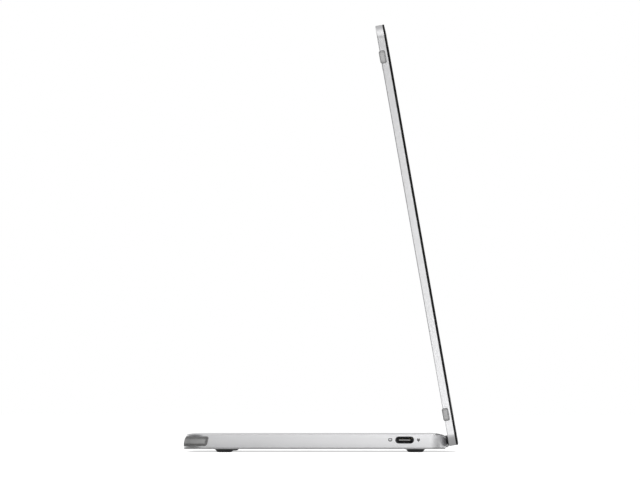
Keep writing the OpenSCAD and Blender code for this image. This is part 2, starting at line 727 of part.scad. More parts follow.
// Domed foot with a thin flared skirt and a peg that the plate holds
module foot(sx, front) color(dark_rubber) in_frame()
    translate([sx * (side_x - foot_side), foot_y(front), 0]) {
        waist_z = foot_h * 0.55;
        flare = foot_h - waist_z - 0.12;
        rotate_extrude() polygon(concat([[0, 0]],
            [for (a = [0:15:90]) [sole_d / 2 + (waist_d - sole_d) / 2 * sin(a), waist_z * (1 - cos(a))]],
            [for (a = [18:18:90]) [foot_d / 2 - (foot_d - waist_d) / 2 * cos(a), waist_z + flare * sin(a)]],
            [[foot_d / 2, foot_h], [0, foot_h]]));
        translate([0, 0, foot_h - 0.05]) cylinder(h = plate_t, r = peg_r);
    }

module foot_front_left() foot(-1, true);
module foot_front_right() foot(1, true);
module foot_rear_left() foot(-1, false);
module foot_rear_right() foot(1, false);

// ---- Hinge, base side ----

// Spring steel strip rolled round the shaft, with a flat leaf for its screws
module torque_clip(sx) color(steel) in_frame() difference() {
    translate([sx * (clip_x + clip_l / 2), hinge_y, hinge_z]) difference() {
        along_x(clip_l) {
            circle(clip_r);
            translate([0, -clip_r]) square([leaf_l, leaf_t]);
        }
        rod_x(shaft_r + shaft_play, clip_l + cut);
        along_x(clip_l + cut) translate([shaft_r, leaf_t - clip_r]) square([clip_r, 0.25]);
    }
    clip_spots(sx) translate([0, 0, hinge_z - clip_r - cut])
        cylinder(h = leaf_t + 2 * cut, r = screw_r + fit_gap);
}

module torque_clip_left() torque_clip(-1);
module torque_clip_right() torque_clip(1);

module clip_screws() color(steel) in_frame() for (sx = [-1, 1]) clip_spots(sx)
    translate([0, 0, hinge_z - clip_r - head_t]) {
        cylinder(h = head_t, r = head_r);
        cylinder(h = head_t + leaf_t + 1, r = screw_r);
    }

// ---- Electronics in the base ----

module main_board() color(green) in_frame() difference() {
    translate([0, board_rear, board_z]) linear_extrude(board_t) {
        translate([-board_w / 2, 0]) square([board_w, strip_d]);
        translate([-core_w / 2, strip_d / 2]) square([core_w, strip_d / 2 + core_d]);
    }
    for (sx = [-1, 1]) translate([sx * (clip_x + clip_l / 2), hinge_y, board_z + board_t / 2])
        cube([clip_l + 2, 2 * leaf_l + 2, board_t + 2 * cut], center = true);
    for (spot = board_spots) translate([spot.x, spot.y, board_z - cut])
        cylinder(h = board_t + 2 * cut, r = screw_r + fit_gap);
}

module board_screws() color(steel) in_frame() for (spot = concat(board_spots, button_spots))
    translate([spot.x, spot.y, board_z - head_t]) {
        cylinder(h = head_t, r = head_r);
        cylinder(h = head_t + board_t + 1.6, r = screw_r);
    }

chip_t = 1.1;
can_t = 0.2;
can_r = 1;
can_room = [22, 12];                       // can beyond the chip
can_size = [chip_w, chip_w] + can_room;
can_spot = [0, board_rear + strip_d + 8];
pad_room = 8;                              // heat pad beyond the chip
coil_w = 7;
coil_off = 20;                             // coils, from the can
coil_h = 2.4;
controller_w = 5;
controller_h = 0.9;

module scaler_chip() color(black) in_frame() translate([can_spot.x, can_spot.y, board_top + chip_t / 2])
    cube([chip_w, chip_w, chip_t], center = true);

module chip_pad() color([0.5, 0.6, 0.75]) in_frame() translate([can_spot.x, can_spot.y, board_top + chip_t])
    linear_extrude(can_h - can_t - chip_t) square(chip_w - 2, center = true);

module shield_can() color(steel) in_frame() translate([can_spot.x, can_spot.y, board_top])
    difference() {
        linear_extrude(can_h) rounded_rect(can_size.x, can_size.y, can_r);
        translate([0, 0, -cut]) linear_extrude(can_h - can_t + cut)
            rounded_rect(can_size.x - 2 * can_t, can_size.y - 2 * can_t, can_r - can_t);
    }

module heat_pad() color([0.5, 0.6, 0.75]) in_frame()
    translate([can_spot.x, can_spot.y, board_top + can_h])
        linear_extrude(ceiling - board_top - can_h) square([chip_w + pad_room, chip_w], center = true);

module power_inductors() color([0.25, 0.25, 0.26]) in_frame() for (sx = [-1, 1])
    translate([sx * (can_size.x / 2 + coil_off), can_spot.y - 2, board_top])
        linear_extrude(coil_h) rounded_rect(coil_w, coil_w, 1);

module port_controllers() color(black) in_frame() for (sx = [-1, 1])
    translate([sx * (port_x - port_l - 2.5 * controller_w), port_rear + controller_w, board_top])
        linear_extrude(controller_h) square(controller_w, center = true);

socket_y = board_rear + 1.5;               // the cable enters the socket's rear face
socket_top = hinge_z + cable_r + 0.3;

module cable_socket() color([0.85, 0.83, 0.78]) in_frame()
    translate([cable_x - plug_w / 2, socket_y, board_top]) cube([plug_w, 3, socket_top - board_top]);

module base_cable() color([0.15, 0.15, 0.16]) in_frame() {
    translate([cable_x, hinge_y + cable_bend, hinge_z]) rotate([-90, 0, 0])
        cylinder(h = socket_y - hinge_y - cable_bend, r = cable_r);
    translate([cable_x + cable_bend, hinge_y + cable_bend, hinge_z]) rotate(180) cable_turn();
    translate([cable_x + 1.5 * cable_bend, hinge_y, hinge_z]) rod_x(cable_r, cable_bend);
}

module insulation_film() color([0.1, 0.1, 0.1]) in_frame() translate([0, board_rear + 1, shell_low])
    linear_extrude(0.2) {
        translate([-core_w / 2, 0]) square([core_w, strip_d + core_d - 9]);
    }

module port_shell(sx) color(steel) in_frame()
    translate([sx * (port_x - port_l / 2), port_rear, port_z]) difference() {
        along_x(port_l) pill(port_w, port_h);
        translate([sx * port_wall, 0, 0]) along_x(port_l)
            pill(port_w - 2 * port_wall, port_h - 2 * port_wall);
    }

module port_tongue(sx) color(black) in_frame()
    translate([sx * (port_x - port_l / 2), port_rear, port_z]) {
        translate([sx * (port_wall / 2 - 0.4), 0, 0])
            cube([port_l - port_wall - 0.8, 6.7, 0.7], center = true);
        translate([-sx * (port_l / 2 - port_wall - 0.6), 0, 0])
            cube([1.2, 6.9, port_h - 2 * port_wall - 0.2], center = true);
    }

module port_shell_left() port_shell(-1);
module port_shell_right() port_shell(1);
module port_tongue_left() port_tongue(-1);
module port_tongue_right() port_tongue(1);

module button_board() color(green) in_frame() difference() {
    translate([switch_x - button_board_w, button_low, board_z])
        cube([button_board_w, button_high - button_low, board_t]);
    for (spot = button_spots) translate([spot.x, spot.y, board_z - cut])
        cylinder(h = board_t + 2 * cut, r = screw_r + fit_gap);
}

module button_switches() color(black) in_frame() for (i = [0:2])
    translate([0, power_rear + i * button_pitch, 0]) {
        translate([switch_x - 2.2, 0, board_top + 1.5]) cube([2.8, 4, 3], center = true);
        translate([switch_x - 0.5, 0, button_z]) cube([1, 1.6, 1], center = true);
    }

module button_ribbon() color([0.75, 0.5, 0.15]) in_frame()
    translate([button_board_x - 6, board_rear + strip_d - 3, board_top])
        cube([5, button_low + 3 - board_rear - strip_d + 3, flex_t]);

module button(i, w) color(silver) in_frame() translate([0, power_rear + i * button_pitch, button_z]) {
    translate([(stem_x + side_x + button_proud) / 2, 0, 0])
        along_x(side_x + button_proud - stem_x) pill(w, button_h);
    translate([stem_x + flange_t / 2, 0, 0])
        along_x(flange_t) pill(w + 2 * flange_rim, button_h + 2 * flange_rim);
    translate([stem_x - 0.15, 0, 0]) cube([0.4, 2, 1.4], center = true);
}

module power_button() button(0, power_w);
module brightness_down_button() button(1, bright_w);
module brightness_up_button() button(2, bright_w);

rear_cover();
front_bezel();
bezel_tape();
lcd_cell();
optical_films();
light_guide();
reflector_sheet();
light_bar();
panel_tray();
panel_pads();
timing_board();
timing_chips();
source_flex();
panel_plug();
panel_cable();
bumper_upper_left();
bumper_upper_right();
bumper_lower_left();
bumper_lower_right();
hinge_barrel();
barrel_plugs();
hinge_shaft_left();
hinge_shaft_right();
barrel_screws();
base_shell();
base_plate();
base_screws();
corner_pad_left();
corner_pad_right();
foot_front_left();
foot_front_right();
foot_rear_left();
foot_rear_right();
torque_clip_left();
torque_clip_right();
clip_screws();
main_board();
board_screws();
scaler_chip();
chip_pad();
shield_can();
heat_pad();
power_inductors();
port_controllers();
cable_socket();
base_cable();
insulation_film();
port_shell_left();
port_shell_right();
port_tongue_left();
port_tongue_right();
button_board();
button_switches();
button_ribbon();
power_button();
brightness_down_button();
brightness_up_button();
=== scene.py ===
"""Portable monitor on a folding base: the looks, built around the fixed frame."""
import json
import math

import bmesh
import bpy
from bpy.props import FloatProperty, FloatVectorProperty, PointerProperty
from mathutils import Matrix, Vector


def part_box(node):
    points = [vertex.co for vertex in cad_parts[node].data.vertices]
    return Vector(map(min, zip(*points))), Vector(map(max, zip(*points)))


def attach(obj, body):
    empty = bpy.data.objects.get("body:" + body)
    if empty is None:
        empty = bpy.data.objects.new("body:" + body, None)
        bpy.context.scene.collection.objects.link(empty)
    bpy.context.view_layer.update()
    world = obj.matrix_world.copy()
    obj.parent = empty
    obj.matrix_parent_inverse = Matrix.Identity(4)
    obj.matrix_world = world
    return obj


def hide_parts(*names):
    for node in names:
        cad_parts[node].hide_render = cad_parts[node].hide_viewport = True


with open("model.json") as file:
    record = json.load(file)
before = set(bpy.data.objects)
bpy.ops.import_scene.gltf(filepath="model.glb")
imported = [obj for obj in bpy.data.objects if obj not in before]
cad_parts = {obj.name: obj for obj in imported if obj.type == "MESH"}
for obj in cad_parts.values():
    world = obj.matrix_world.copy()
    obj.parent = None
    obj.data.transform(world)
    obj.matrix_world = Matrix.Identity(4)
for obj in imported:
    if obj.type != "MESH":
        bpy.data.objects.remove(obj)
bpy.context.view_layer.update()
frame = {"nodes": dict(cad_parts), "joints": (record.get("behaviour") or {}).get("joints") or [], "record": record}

bl_info = {
    "name": "Portable monitor",
    "version": (1, 0, 0),
    "blender": (4, 5, 0),
    "location": "3D View > Sidebar > Monitor",
    "description": "Builds a portable monitor with a folding base, its finishes and its studio",
    "category": "Object",
}

NODES = frame["nodes"]
MM = 0.001                         # everything is in metres
CUT = 1 * MM                       # how far a cutter runs past what it cuts
GAP = 0.1 * MM                     # clearance between pieces of one casing
WELD = 0.001 * MM                  # points nearer than this become one
SOFT = 0.06 * MM                   # round along the crisp edges of metal
SHARP = math.radians(38)           # edges above this angle stay crisp
SIDES = ((-1, "left"), (1, "right"))
X, Y, Z = Vector((1, 0, 0)), Vector((0, 1, 0)), Vector((0, 0, 1))

COVER_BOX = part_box("rear_cover")
SHELL_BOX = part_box("base_shell")
PLATE_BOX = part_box("base_plate")
PORT_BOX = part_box("port_shell_left")
HINGE = Vector(next(j["pos_m"] for j in frame["joints"] if j["name"] == "display_fold"))


# ---- Sizes and colours that a user may change ----

def length(name, text, value):
    return FloatProperty(name=name, description=text, default=value * MM, unit="LENGTH", precision=5)


def colour(name, text, value):
    return FloatVectorProperty(name=name, description=text, default=value, size=3, subtype="COLOR",
                               min=0, max=1)


class DisplaySizes(bpy.types.PropertyGroup):
    """Sizes of the display, apart from its width, which the frame gives"""
    lean: FloatProperty(name="Lean", description="Angle that the open display leans back from upright",
                        default=math.radians(10), subtype="ANGLE", unit="ROTATION")
    height: length("Height", "Height of the display along its face", 207)
    cover_depth: length("Cover depth", "Depth of the silver rear cover", 3.5)
    frame_depth: length("Frame depth", "Depth of the black front frame", 0.9)
    corner: length("Corner", "Corner radius of the display", 6.4)
    back_round: length("Back round", "Round along the back edge of the cover", 0.45)
    front_round: length("Front round", "Round along the front edge of the frame", 0.12)
    back_wall: length("Back wall", "Back wall of the rear cover", 0.8)
    side_wall: length("Side wall", "Side walls of the rear cover", 1)
    lip: length("Lip", "Thickness of the frame's lip over the panel", 0.45)
    picture_w: length("Picture width", "Width of the opening for the picture", 309.8)
    picture_h: length("Picture height", "Height of the opening for the picture", 174.4)
    picture_low: length("Picture foot", "Height of the opening above the display's lower edge", 26.3)
    hinge_off: length("Hinge offset", "Distance of the hinge axis behind the display's back", 3.65)
    hinge_up: length("Hinge height", "Height of the hinge axis above the display's lower edge", 3.7)


class BaseSizes(bpy.types.PropertyGroup):
    """Sizes of the base, apart from its width and height, which the frame gives"""
    depth: length("Depth", "Depth of the base along its underside", 127.5)
    slant: length("Slant", "Distance by which the front end leans back over the base's height", 1.75)
    corner: length("Corner", "Corner radius of the base, seen from above", 8.3)
    top_wall: length("Top wall", "Thickness of the top wall", 0.9)
    side_wall: length("Side wall", "Thickness of the side walls", 1.3)
    hinge_in: length("Hinge inset", "Distance of the hinge axis from the base's rear end", 2.75)
    sweep_r: length("Sweep radius", "Radius in which the top falls away towards the hinge", 19)
    sweep_l: length("Sweep length", "Length of the sweep along the base", 8)
    rim_round: length("Rim round", "Round along the base's top rim", 0.5)
    lip_t: length("Lip thickness", "Thickness of the lip under the barrel", 1.7)
    stop_gap: length("Stop gap", "Gap between the lip and the display or its neck", 0.3)
    barrel_r: length("Barrel radius", "Radius of the hinge barrel", 2.15)
    neck_t: length("Neck thickness", "Thickness of the neck between barrel and display", 2.4)
    plate_round: length("Plate round", "Round along the lower edge of the bottom plate", 0.3)


class RubberSizes(bpy.types.PropertyGroup):
    """Sizes of the rubber bumpers, pads and feet"""
    proud: length("Stand-out", "How far bumpers and pads stand out of the metal", 0.5)
    seat: length("Seat depth", "How deep bumpers and pads sit in the metal", 0.6)
    bumper_l: length("Bumper length", "Length of a display bumper", 6.2)
    bumper_w: length("Bumper width", "Width of a bumper on the display's side", 2.5)
    bumper_reach: length("Bumper reach", "Width of a bumper on the display's back", 2.2)
    bumper_end: length("Bumper place", "Distance of a bumper's middle from the display's end", 15.5)
    pad_l: length("Pad length", "Length of a corner pad along the base's side", 11)
    pad_h: length("Pad height", "Height of a corner pad", 4.6)
    pad_rim: length("Pad rim", "Width of the lower rim round a pad's raised face", 0.85)
    sole_d: length("Sole width", "Width of a foot's flat sole", 4.6)
    waist_d: length("Waist width", "Width of a foot below its skirt", 8.2)


class Finishes(bpy.types.PropertyGroup):
    """Colours of the main finishes"""
    silver: colour("Silver", "Anodised metal of the casings", (0.80, 0.80, 0.81))
    plate: colour("Plate", "Anodised metal of the bottom plate", (0.60, 0.60, 0.61))
    black: colour("Black", "Matt black of the front frame", (0.006, 0.006, 0.0065))
    screen: colour("Screen", "Switched-off screen", (0.010, 0.011, 0.014))
    bumper: colour("Bumper", "Mid grey rubber of the display's bumpers", (0.44, 0.44, 0.44))
    # The pads' colour is the bumpers' grey rubber made darker: painted shade.
    pad: colour("Pad", "Mid grey rubber of the corner pads", (0.33, 0.33, 0.33))
    foot: colour("Foot", "Dark grey rubber of the feet", (0.17, 0.17, 0.175))
    hinge: colour("Hinge", "Dark paint of the hinge barrel", (0.05, 0.05, 0.055))


# ---- Modelling helpers ----

def only(piece):
    """Makes piece the one selected object, and the active one."""
    bpy.ops.object.select_all(action="DESELECT")
    piece.select_set(True)
    bpy.context.view_layer.objects.active = piece


def edit(piece, kind, test):
    """Opens piece in edit mode with those of its VERT, EDGE or FACE parts selected for which test holds."""
    only(piece)
    bpy.ops.object.mode_set(mode="EDIT")
    bpy.ops.mesh.select_mode(type=kind)
    bpy.ops.mesh.select_all(action="DESELECT")
    shape = bmesh.from_edit_mesh(piece.data)
    shape.normal_update()
    parts = {"VERT": shape.verts, "EDGE": shape.edges, "FACE": shape.faces}[kind]
    for part in parts:
        if test(part):
            part.select_set(True)
    shape.select_flush_mode()
    bmesh.update_edit_mesh(piece.data)


def close():
    """Leaves edit mode."""
    bpy.ops.object.mode_set(mode="OBJECT")


def along(axis, limit=0.999):
    """Tests that an edge runs along axis."""
    return lambda e: abs((e.verts[0].co - e.verts[1].co).normalized().dot(axis)) > limit


def facing(normal, limit=0.99):
    """Tests that a face's normal points along normal."""
    return lambda f: f.normal.dot(normal) > limit


def rim_of(normal, limit=0.9):
    """Tests that an edge bounds the faces that point along normal."""
    def test(edge):
        sides = [f.normal.dot(normal) > limit for f in edge.link_faces]
        return len(sides) == 2 and sides[0] != sides[1]
    return test


def primitive(name, kind, **settings):
    """Adds a mesh primitive of a kind, with its transforms applied."""
    bpy.ops.object.select_all(action="DESELECT")
    getattr(bpy.ops.mesh, f"primitive_{kind}_add")(**settings)
    piece = bpy.context.object
    piece.name = piece.data.name = name
    bpy.ops.object.transform_apply(location=True, rotation=True, scale=True)
    return piece


def block(name, one, other):
    """A block between two opposite corners, as the start of a piece."""
    low, high = (Vector(map(pick, zip(one, other))) for pick in (min, max))
    return primitive(name, "cube", size=1, location=(low + high) / 2, scale=high - low)


def bar(name, start, end, y, z, width, height):
    """A block along X from start to end, width by height round y and z."""
    return block(name, (start, y - width / 2, z - height / 2), (end, y + width / 2, z + height / 2))


def rod(name, centre, radius, height, axis, sides):
    """A round rod about an axis through centre, as the start of a piece or a cutter."""
    return primitive(name, "cylinder", vertices=sides, radius=radius, depth=height, location=centre,
                     rotation=Z.rotation_difference(axis).to_euler())


def round_edges(piece, test, radius, segments):
    """Rounds the tested edges of piece."""
    edit(piece, "EDGE", test)
    bpy.ops.mesh.bevel(offset=radius, segments=segments, affect="EDGES", clamp_overlap=True)
    close()


def shift(piece, test, move):
    """Moves the tested points of piece."""
    edit(piece, "VERT", test)
    bpy.ops.transform.translate(value=move)
    close()


def push(piece, test, inset, move):
    """Insets the tested faces and extrudes them by move."""
    edit(piece, "FACE", test)
    bpy.ops.mesh.inset(thickness=inset, depth=0)
    bpy.ops.mesh.extrude_region_move(TRANSFORM_OT_translate={"value": move})
    close()


def apply_modifier(piece, kind, **settings):
    """Adds a modifier with its settings and applies it."""
    modifier = piece.modifiers.new(kind.title(), kind)
    for key, value in settings.items():
        setattr(modifier, key, value)
    only(piece)
    bpy.ops.object.modifier_apply(modifier=modifier.name)


def merge(piece, reach=WELD):
    """Merges points within reach of each other and takes out faces without area."""
    edit(piece, "VERT", lambda v: True)
    bpy.ops.mesh.remove_doubles(threshold=reach)
    bpy.ops.mesh.dissolve_degenerate(threshold=reach)
    close()


def combine(piece, other, operation="DIFFERENCE"):
    """Cuts other from piece, or unites or intersects them, and removes other."""
    merge(piece)
    merge(other)
    apply_modifier(piece, "BOOLEAN", operation=operation, object=other, solver="EXACT")
    bpy.data.objects.remove(other)
    merge(piece)


def soften(piece, width=SOFT, segments=2, clamped=True):
    """Rounds every crisp edge of piece by width, after points nearer than a quarter of it have merged."""
    merge(piece, width / 4)
    apply_modifier(piece, "BEVEL", width=width, segments=segments, limit_method="ANGLE",
                   angle_limit=SHARP, use_clamp_overlap=clamped, miter_outer="MITER_ARC")
    merge(piece)


def join(name, pieces):
    """Joins pieces into one object."""
    only(pieces[0])
    for piece in pieces[1:]:
        piece.select_set(True)
    bpy.ops.object.join()
    pieces[0].name = pieces[0].data.name = name
    return pieces[0]


def turned_form(name, points, centre, sides):
    """A closed round form: the outline, from the axis out and back to it, is spun about the axis."""
    piece = block(name, (0, 0, 0), (CUT, CUT, CUT))
    edit(piece, "VERT", lambda v: True)
    bpy.ops.mesh.merge(type="CENTER")
    shape = bmesh.from_edit_mesh(piece.data)
    shape.verts.ensure_lookup_table()
    shape.verts[0].co = (points[0][0], 0, points[0][1])
    bmesh.update_edit_mesh(piece.data)
    bpy.ops.mesh.select_all(action="SELECT")
    for start, end in zip(points, points[1:]):
        step = (end[0] - start[0], 0, end[1] - start[1])
        bpy.ops.mesh.extrude_vertices_move(TRANSFORM_OT_translate={"value": step})
    bpy.ops.mesh.select_all(action="SELECT")
    bpy.ops.mesh.spin(steps=sides, angle=2 * math.pi, center=(0, 0, 0), axis=(0, 0, 1))
    bpy.ops.mesh.select_all(action="SELECT")
    bpy.ops.mesh.remove_doubles(threshold=2 * WELD)
    bpy.ops.mesh.normals_make_consistent(inside=False)
    close()
    piece.data.transform(Matrix.Translation(Vector(centre)))
    return piece


def solids(node):
    """Corners of each separate solid of a CAD node, from a merged copy of its mesh."""
    shape = bmesh.new()
    shape.from_mesh(NODES[node].data)
    bmesh.ops.remove_doubles(shape, verts=shape.verts, dist=WELD)
    left, found = set(shape.verts), []
    while left:
        group, edge = set(), [left.pop()]
        while edge:
            vert = edge.pop()
            group.add(vert.co.copy().freeze())
            for near in (e.other_vert(vert) for e in vert.link_edges):
                if near in left:
                    left.remove(near)
                    edge.append(near)
        found.append(tuple(Vector(map(pick, zip(*group))) for pick in (min, max)))
    shape.free()
    return sorted(found, key=lambda box: tuple(round(c, 5) for c in box[0]))


def smooth(piece):
    """Shades the rounds smooth and keeps the large faces flat."""
    only(piece)
    bpy.ops.object.shade_smooth_by_angle(angle=SHARP)
    apply_modifier(piece, "WEIGHTED_NORMAL", weight=80, keep_sharp=True)


def finish(piece, body, nodes, slot, place=None, look=None):
    """Puts a piece in its place, hangs it on its body's empty and hides the CAD nodes that it stands for; look is
    its finish, or slot.
    """
    if place is not None:
        piece.data.transform(place)
    smooth(piece)
    piece.data.materials.clear()
    piece.data.materials.append(FINISH[look or slot])
    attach(piece, body)
    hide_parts(*nodes)


def display_place():
    """From the display's upright frame, back at y = 0 and lower edge at z = 0, to the shared frame."""
    sizes = bpy.context.scene.display_sizes
    return (Matrix.Translation(HINGE) @ Matrix.Rotation(-sizes.lean, 4, "X")
            @ Matrix.Translation((0, -sizes.hinge_off, -sizes.hinge_up)))


def base_place():
    """From the base's own frame, rear end at y = 0 and the desk at z = 0, to the shared frame."""
    return Matrix.Translation((0, HINGE.y - bpy.context.scene.base_sizes.hinge_in, 0))


# ---- Shader helpers and groups ----

def add(tree, kind, inputs=None, **settings):
    """Adds a node of that kind, with its settings and its inputs' values or links."""
    node = tree.nodes.new(kind)
    for key, value in settings.items():
        setattr(node, key, value)
    for key, value in (inputs or {}).items():
        if isinstance(value, bpy.types.NodeSocket):
            tree.links.new(value, node.inputs[key])
        else:
            node.inputs[key].default_value = value
    return node


def shader_group(name, inputs, outputs, build):
    """A shader node group, built once: inputs are (name, type, default), outputs are (name, type)."""
    if name in bpy.data.node_groups:
        return bpy.data.node_groups[name]
    tree = bpy.data.node_groups.new(name, "ShaderNodeTree")
    for label, kind, default in inputs:
        socket = tree.interface.new_socket(label, in_out="INPUT", socket_type=kind)
        if default is not None:
            socket.default_value = default
    for label, kind in outputs:
        tree.interface.new_socket(label, in_out="OUTPUT", socket_type=kind)
    source = tree.nodes.new("NodeGroupInput").outputs
    sink = tree.nodes.new("NodeGroupOutput").inputs
    for label, socket in build(tree, source).items():
        tree.links.new(socket, sink[label])
    return tree


def place_group(tree, group, **inputs):
    """Places a group in a material's tree, with its values or links, and returns its outputs."""
    return add(tree, "ShaderNodeGroup", inputs, node_tree=group).outputs


def calc(tree, operation, a, b=0.0):
    """The result of one mathematical operation on values or links."""
    return add(tree, "ShaderNodeMath", {0: a, 1: b}, operation=operation).outputs["Value"]


def noise(tree, vector, scale, detail, roughness=0.5):
    """A noise from 0 to 1 over the surface."""
    return add(tree, "ShaderNodeTexNoise", {"Vector": vector, "Scale": scale, "Detail": detail,
                                            "Roughness": roughness}).outputs["Fac"]


def spread(tree, value, low=0.0, high=1.0, start=0.0, end=1.0):
    """Maps a value from start..end to low..high."""
    return add(tree, "ShaderNodeMapRange", {"Value": value, "From Min": start, "From Max": end,
                                            "To Min": low, "To Max": high}).outputs["Result"]


def blend(tree, factor, a, b):
    """Mixes two values by a factor."""
    return add(tree, "ShaderNodeMix", {0: factor, 2: a, 3: b}, data_type="FLOAT").outputs[0]


def mix(tree, factor, a, b):
    """Mixes two colours by a factor."""
    a, b = ((*c, 1) if isinstance(c, tuple) else c for c in (a, b))
    return add(tree, "ShaderNodeMix", {0: factor, 6: a, 7: b}, data_type="RGBA").outputs[2]


def scaled(rgb, factor):
    """A colour made darker or brighter, up to white."""
    return tuple(min(1.0, c * factor) for c in rgb)


FLOAT, VECTOR = "NodeSocketFloat", "NodeSocketVector"
FINISH = {}                        # every material made here, by name


def grain_group():
    """Fine grain of a blasted, moulded or painted surface, and its slow shade from place to place."""
    def build(tree, source):
        slow = noise(tree, source["Vector"], source["Slowness"], detail=2.0)
        return {"Height": noise(tree, source["Vector"], source["Fineness"], detail=3.0, roughness=0.6),
                "Shade": spread(tree, slow, start=0.3, end=0.7)}
    return shader_group("Surface grain",
                        [("Vector", VECTOR, None), ("Fineness", FLOAT, 6000.0), ("Slowness", FLOAT, 30.0)],
                        [("Height", FLOAT), ("Shade", FLOAT)], build)


def drawn_group():
    """Faint lines that a drawn or brushed metal wall shows along its length."""
    def build(tree, source):
        stretch = add(tree, "ShaderNodeMapping", {"Vector": source["Vector"], "Scale": source["Stretch"]})
        lines = noise(tree, stretch.outputs["Vector"], scale=1.0, detail=4.0, roughness=0.65)
        return {"Lines": spread(tree, lines, start=0.32, end=0.68)}
    return shader_group("Drawn lines", [("Vector", VECTOR, None), ("Stretch", VECTOR, (0, 12, 2600))],
                        [("Lines", FLOAT)], build)


def edge_rub_and_shade_group():
    """Mask of the edges, broken up by a noise: metal finishes brighten it as rubbed wear, and rubber darkens it as
    painted shade.
    """
    def build(tree, source):
        rounded = add(tree, "ShaderNodeBevel", {"Radius": source["Width"]}, samples=6)
        here = add(tree, "ShaderNodeNewGeometry")
        alike = add(tree, "ShaderNodeVectorMath", {0: rounded.outputs["Normal"], 1: here.outputs["Normal"]},
                    operation="DOT_PRODUCT")
        edge = spread(tree, alike.outputs["Value"], start=0.998, end=source["Depth"])
        edge_noise = noise(tree, source["Vector"], scale=700.0, detail=3.0)
        return {"Mask": calc(tree, "MULTIPLY", edge, blend(tree, source["Breakup"], 1.0, edge_noise))}
    return shader_group("Edge wear", [("Vector", VECTOR, None), ("Width", FLOAT, 0.3 * MM),
                                      ("Depth", FLOAT, 0.86), ("Breakup", FLOAT, 1.0)],
                        [("Mask", FLOAT)], build)


def dust_group():
    """Mask of the fine dust that lies on faces that look up."""
    def build(tree, source):
        here = add(tree, "ShaderNodeNewGeometry")
        up = add(tree, "ShaderNodeSeparateXYZ", {0: here.outputs["Normal"]}).outputs["Z"]
        specks = noise(tree, source["Vector"], source["Fineness"], detail=5.0, roughness=0.7)
        return {"Mask": calc(tree, "MULTIPLY", spread(tree, specks, start=0.52, end=0.8),
                             spread(tree, up, start=-0.2, end=0.9))}
    return shader_group("Fine dust", [("Vector", VECTOR, None), ("Fineness", FLOAT, 900.0)],
                        [("Mask", FLOAT)], build)


def material(name, roughness, metallic=0.0, **sockets):
    """Starts a finish; returns its tree, its Principled shader and the object's vector."""
    FINISH[name] = bpy.data.materials.new(name)
    FINISH[name].use_nodes = True
    tree = FINISH[name].node_tree
    shader = tree.nodes["Principled BSDF"]
    shader.inputs["Roughness"].default_value = roughness
    shader.inputs["Metallic"].default_value = metallic
    for key, value in sockets.items():
        shader.inputs[key.replace("_", " ")].default_value = value
    return tree, shader, add(tree, "ShaderNodeTexCoord").outputs["Object"]


DUST, LIGHT_DUST = (0.55, 0.54, 0.52), (0.6, 0.59, 0.57)


def connect(tree, shader, tone, roughness, height, relief, strength):
    """Links a finish's colour, roughness and relief to its Principled shader."""
    bump = add(tree, "ShaderNodeBump", {"Height": height, "Distance": relief * MM, "Strength": strength})
    for name, socket in (("Base Color", tone), ("Roughness", roughness), ("Normal", bump.outputs["Normal"])):
        if socket is not None:
            tree.links.new(socket, shader.inputs[name])


def anodised(name, rgb, roughness, turn=0.0, stretch=None):
    """Blasted and anodised metal, with drawn lines on its side walls and slightly bright edges."""
    shaded, edge_rub_and_shade_tone, rub_share, line_share = 0.955, 1.12, 0.35, 0.65
    tree, shader, place = material(name, roughness, metallic=1.0)
    grain = place_group(tree, grain_group(), Vector=place, Fineness=7000.0, Slowness=22.0)
    edge_rub_and_shade = place_group(tree, edge_rub_and_shade_group(), Vector=place, Width=0.25 * MM)
    height, shade = grain["Height"], grain["Shade"]
    if stretch is not None:
        turned = add(tree, "ShaderNodeMapping", {"Vector": place, "Rotation": (turn, 0, 0)})
        lines = place_group(tree, drawn_group(), Vector=turned.outputs["Vector"], Stretch=stretch)["Lines"]
        height = calc(tree, "ADD", lines, height)
        shade = blend(tree, line_share, shade, lines)
    tone = mix(tree, shade, rgb, scaled(rgb, shaded))
    tone = mix(tree, calc(tree, "MULTIPLY", edge_rub_and_shade["Mask"], rub_share), tone, scaled(rgb, edge_rub_and_shade_tone))
    connect(tree, shader, tone, spread(tree, shade, roughness - 0.02, roughness + 0.03), height,
            relief=0.0035, strength=0.5)


def rubber(name, rgb, roughness):
    """Moulded rubber with a fine skin, painted shade that darkens its edges and a trace of dust."""
    shaded, edge_rub_and_shade_tone, dusty, uneven = 0.9, 0.35, 0.12, 0.06
    tree, shader, place = material(name, roughness, Specular_IOR_Level=0.35)
    grain = place_group(tree, grain_group(), Vector=place, Fineness=5200.0, Slowness=160.0)
    dust = place_group(tree, dust_group(), Vector=place, Fineness=1500.0)
    # Painted shade: the edge mask darkens the rubber's colour along its edges and creases, broken up a little by
    # noise.
    edge_rub_and_shade = place_group(tree, edge_rub_and_shade_group(), Vector=place, Width=1.2 * MM, Depth=0.985, Breakup=0.15)
    tone = mix(tree, grain["Shade"], rgb, scaled(rgb, shaded))
    tone = mix(tree, edge_rub_and_shade["Mask"], tone, scaled(rgb, edge_rub_and_shade_tone))
    tone = mix(tree, calc(tree, "MULTIPLY", dust["Mask"], dusty), tone, LIGHT_DUST)
    connect(tree, shader, tone, spread(tree, grain["Shade"], roughness - uneven, roughness + uneven),
            grain["Height"], relief=0.02, strength=0.6)


def moulded(name, rgb, roughness, relief=0.015, uneven=0.05, dusty=0.05, **sockets):
    """Moulded or painted surface with a fine texture, and a roughness that is a little uneven."""
    shaded = 0.82
    tree, shader, place = material(name, roughness, **sockets)
    grain = place_group(tree, grain_group(), Vector=place, Fineness=4000.0, Slowness=90.0)
    dust = place_group(tree, dust_group(), Vector=place)
    tone = mix(tree, grain["Shade"], rgb, scaled(rgb, shaded))
    tone = mix(tree, calc(tree, "MULTIPLY", dust["Mask"], dusty), tone, DUST)
    connect(tree, shader, tone, spread(tree, grain["Shade"], roughness - uneven, roughness + uneven),
            grain["Height"], relief, strength=0.5)


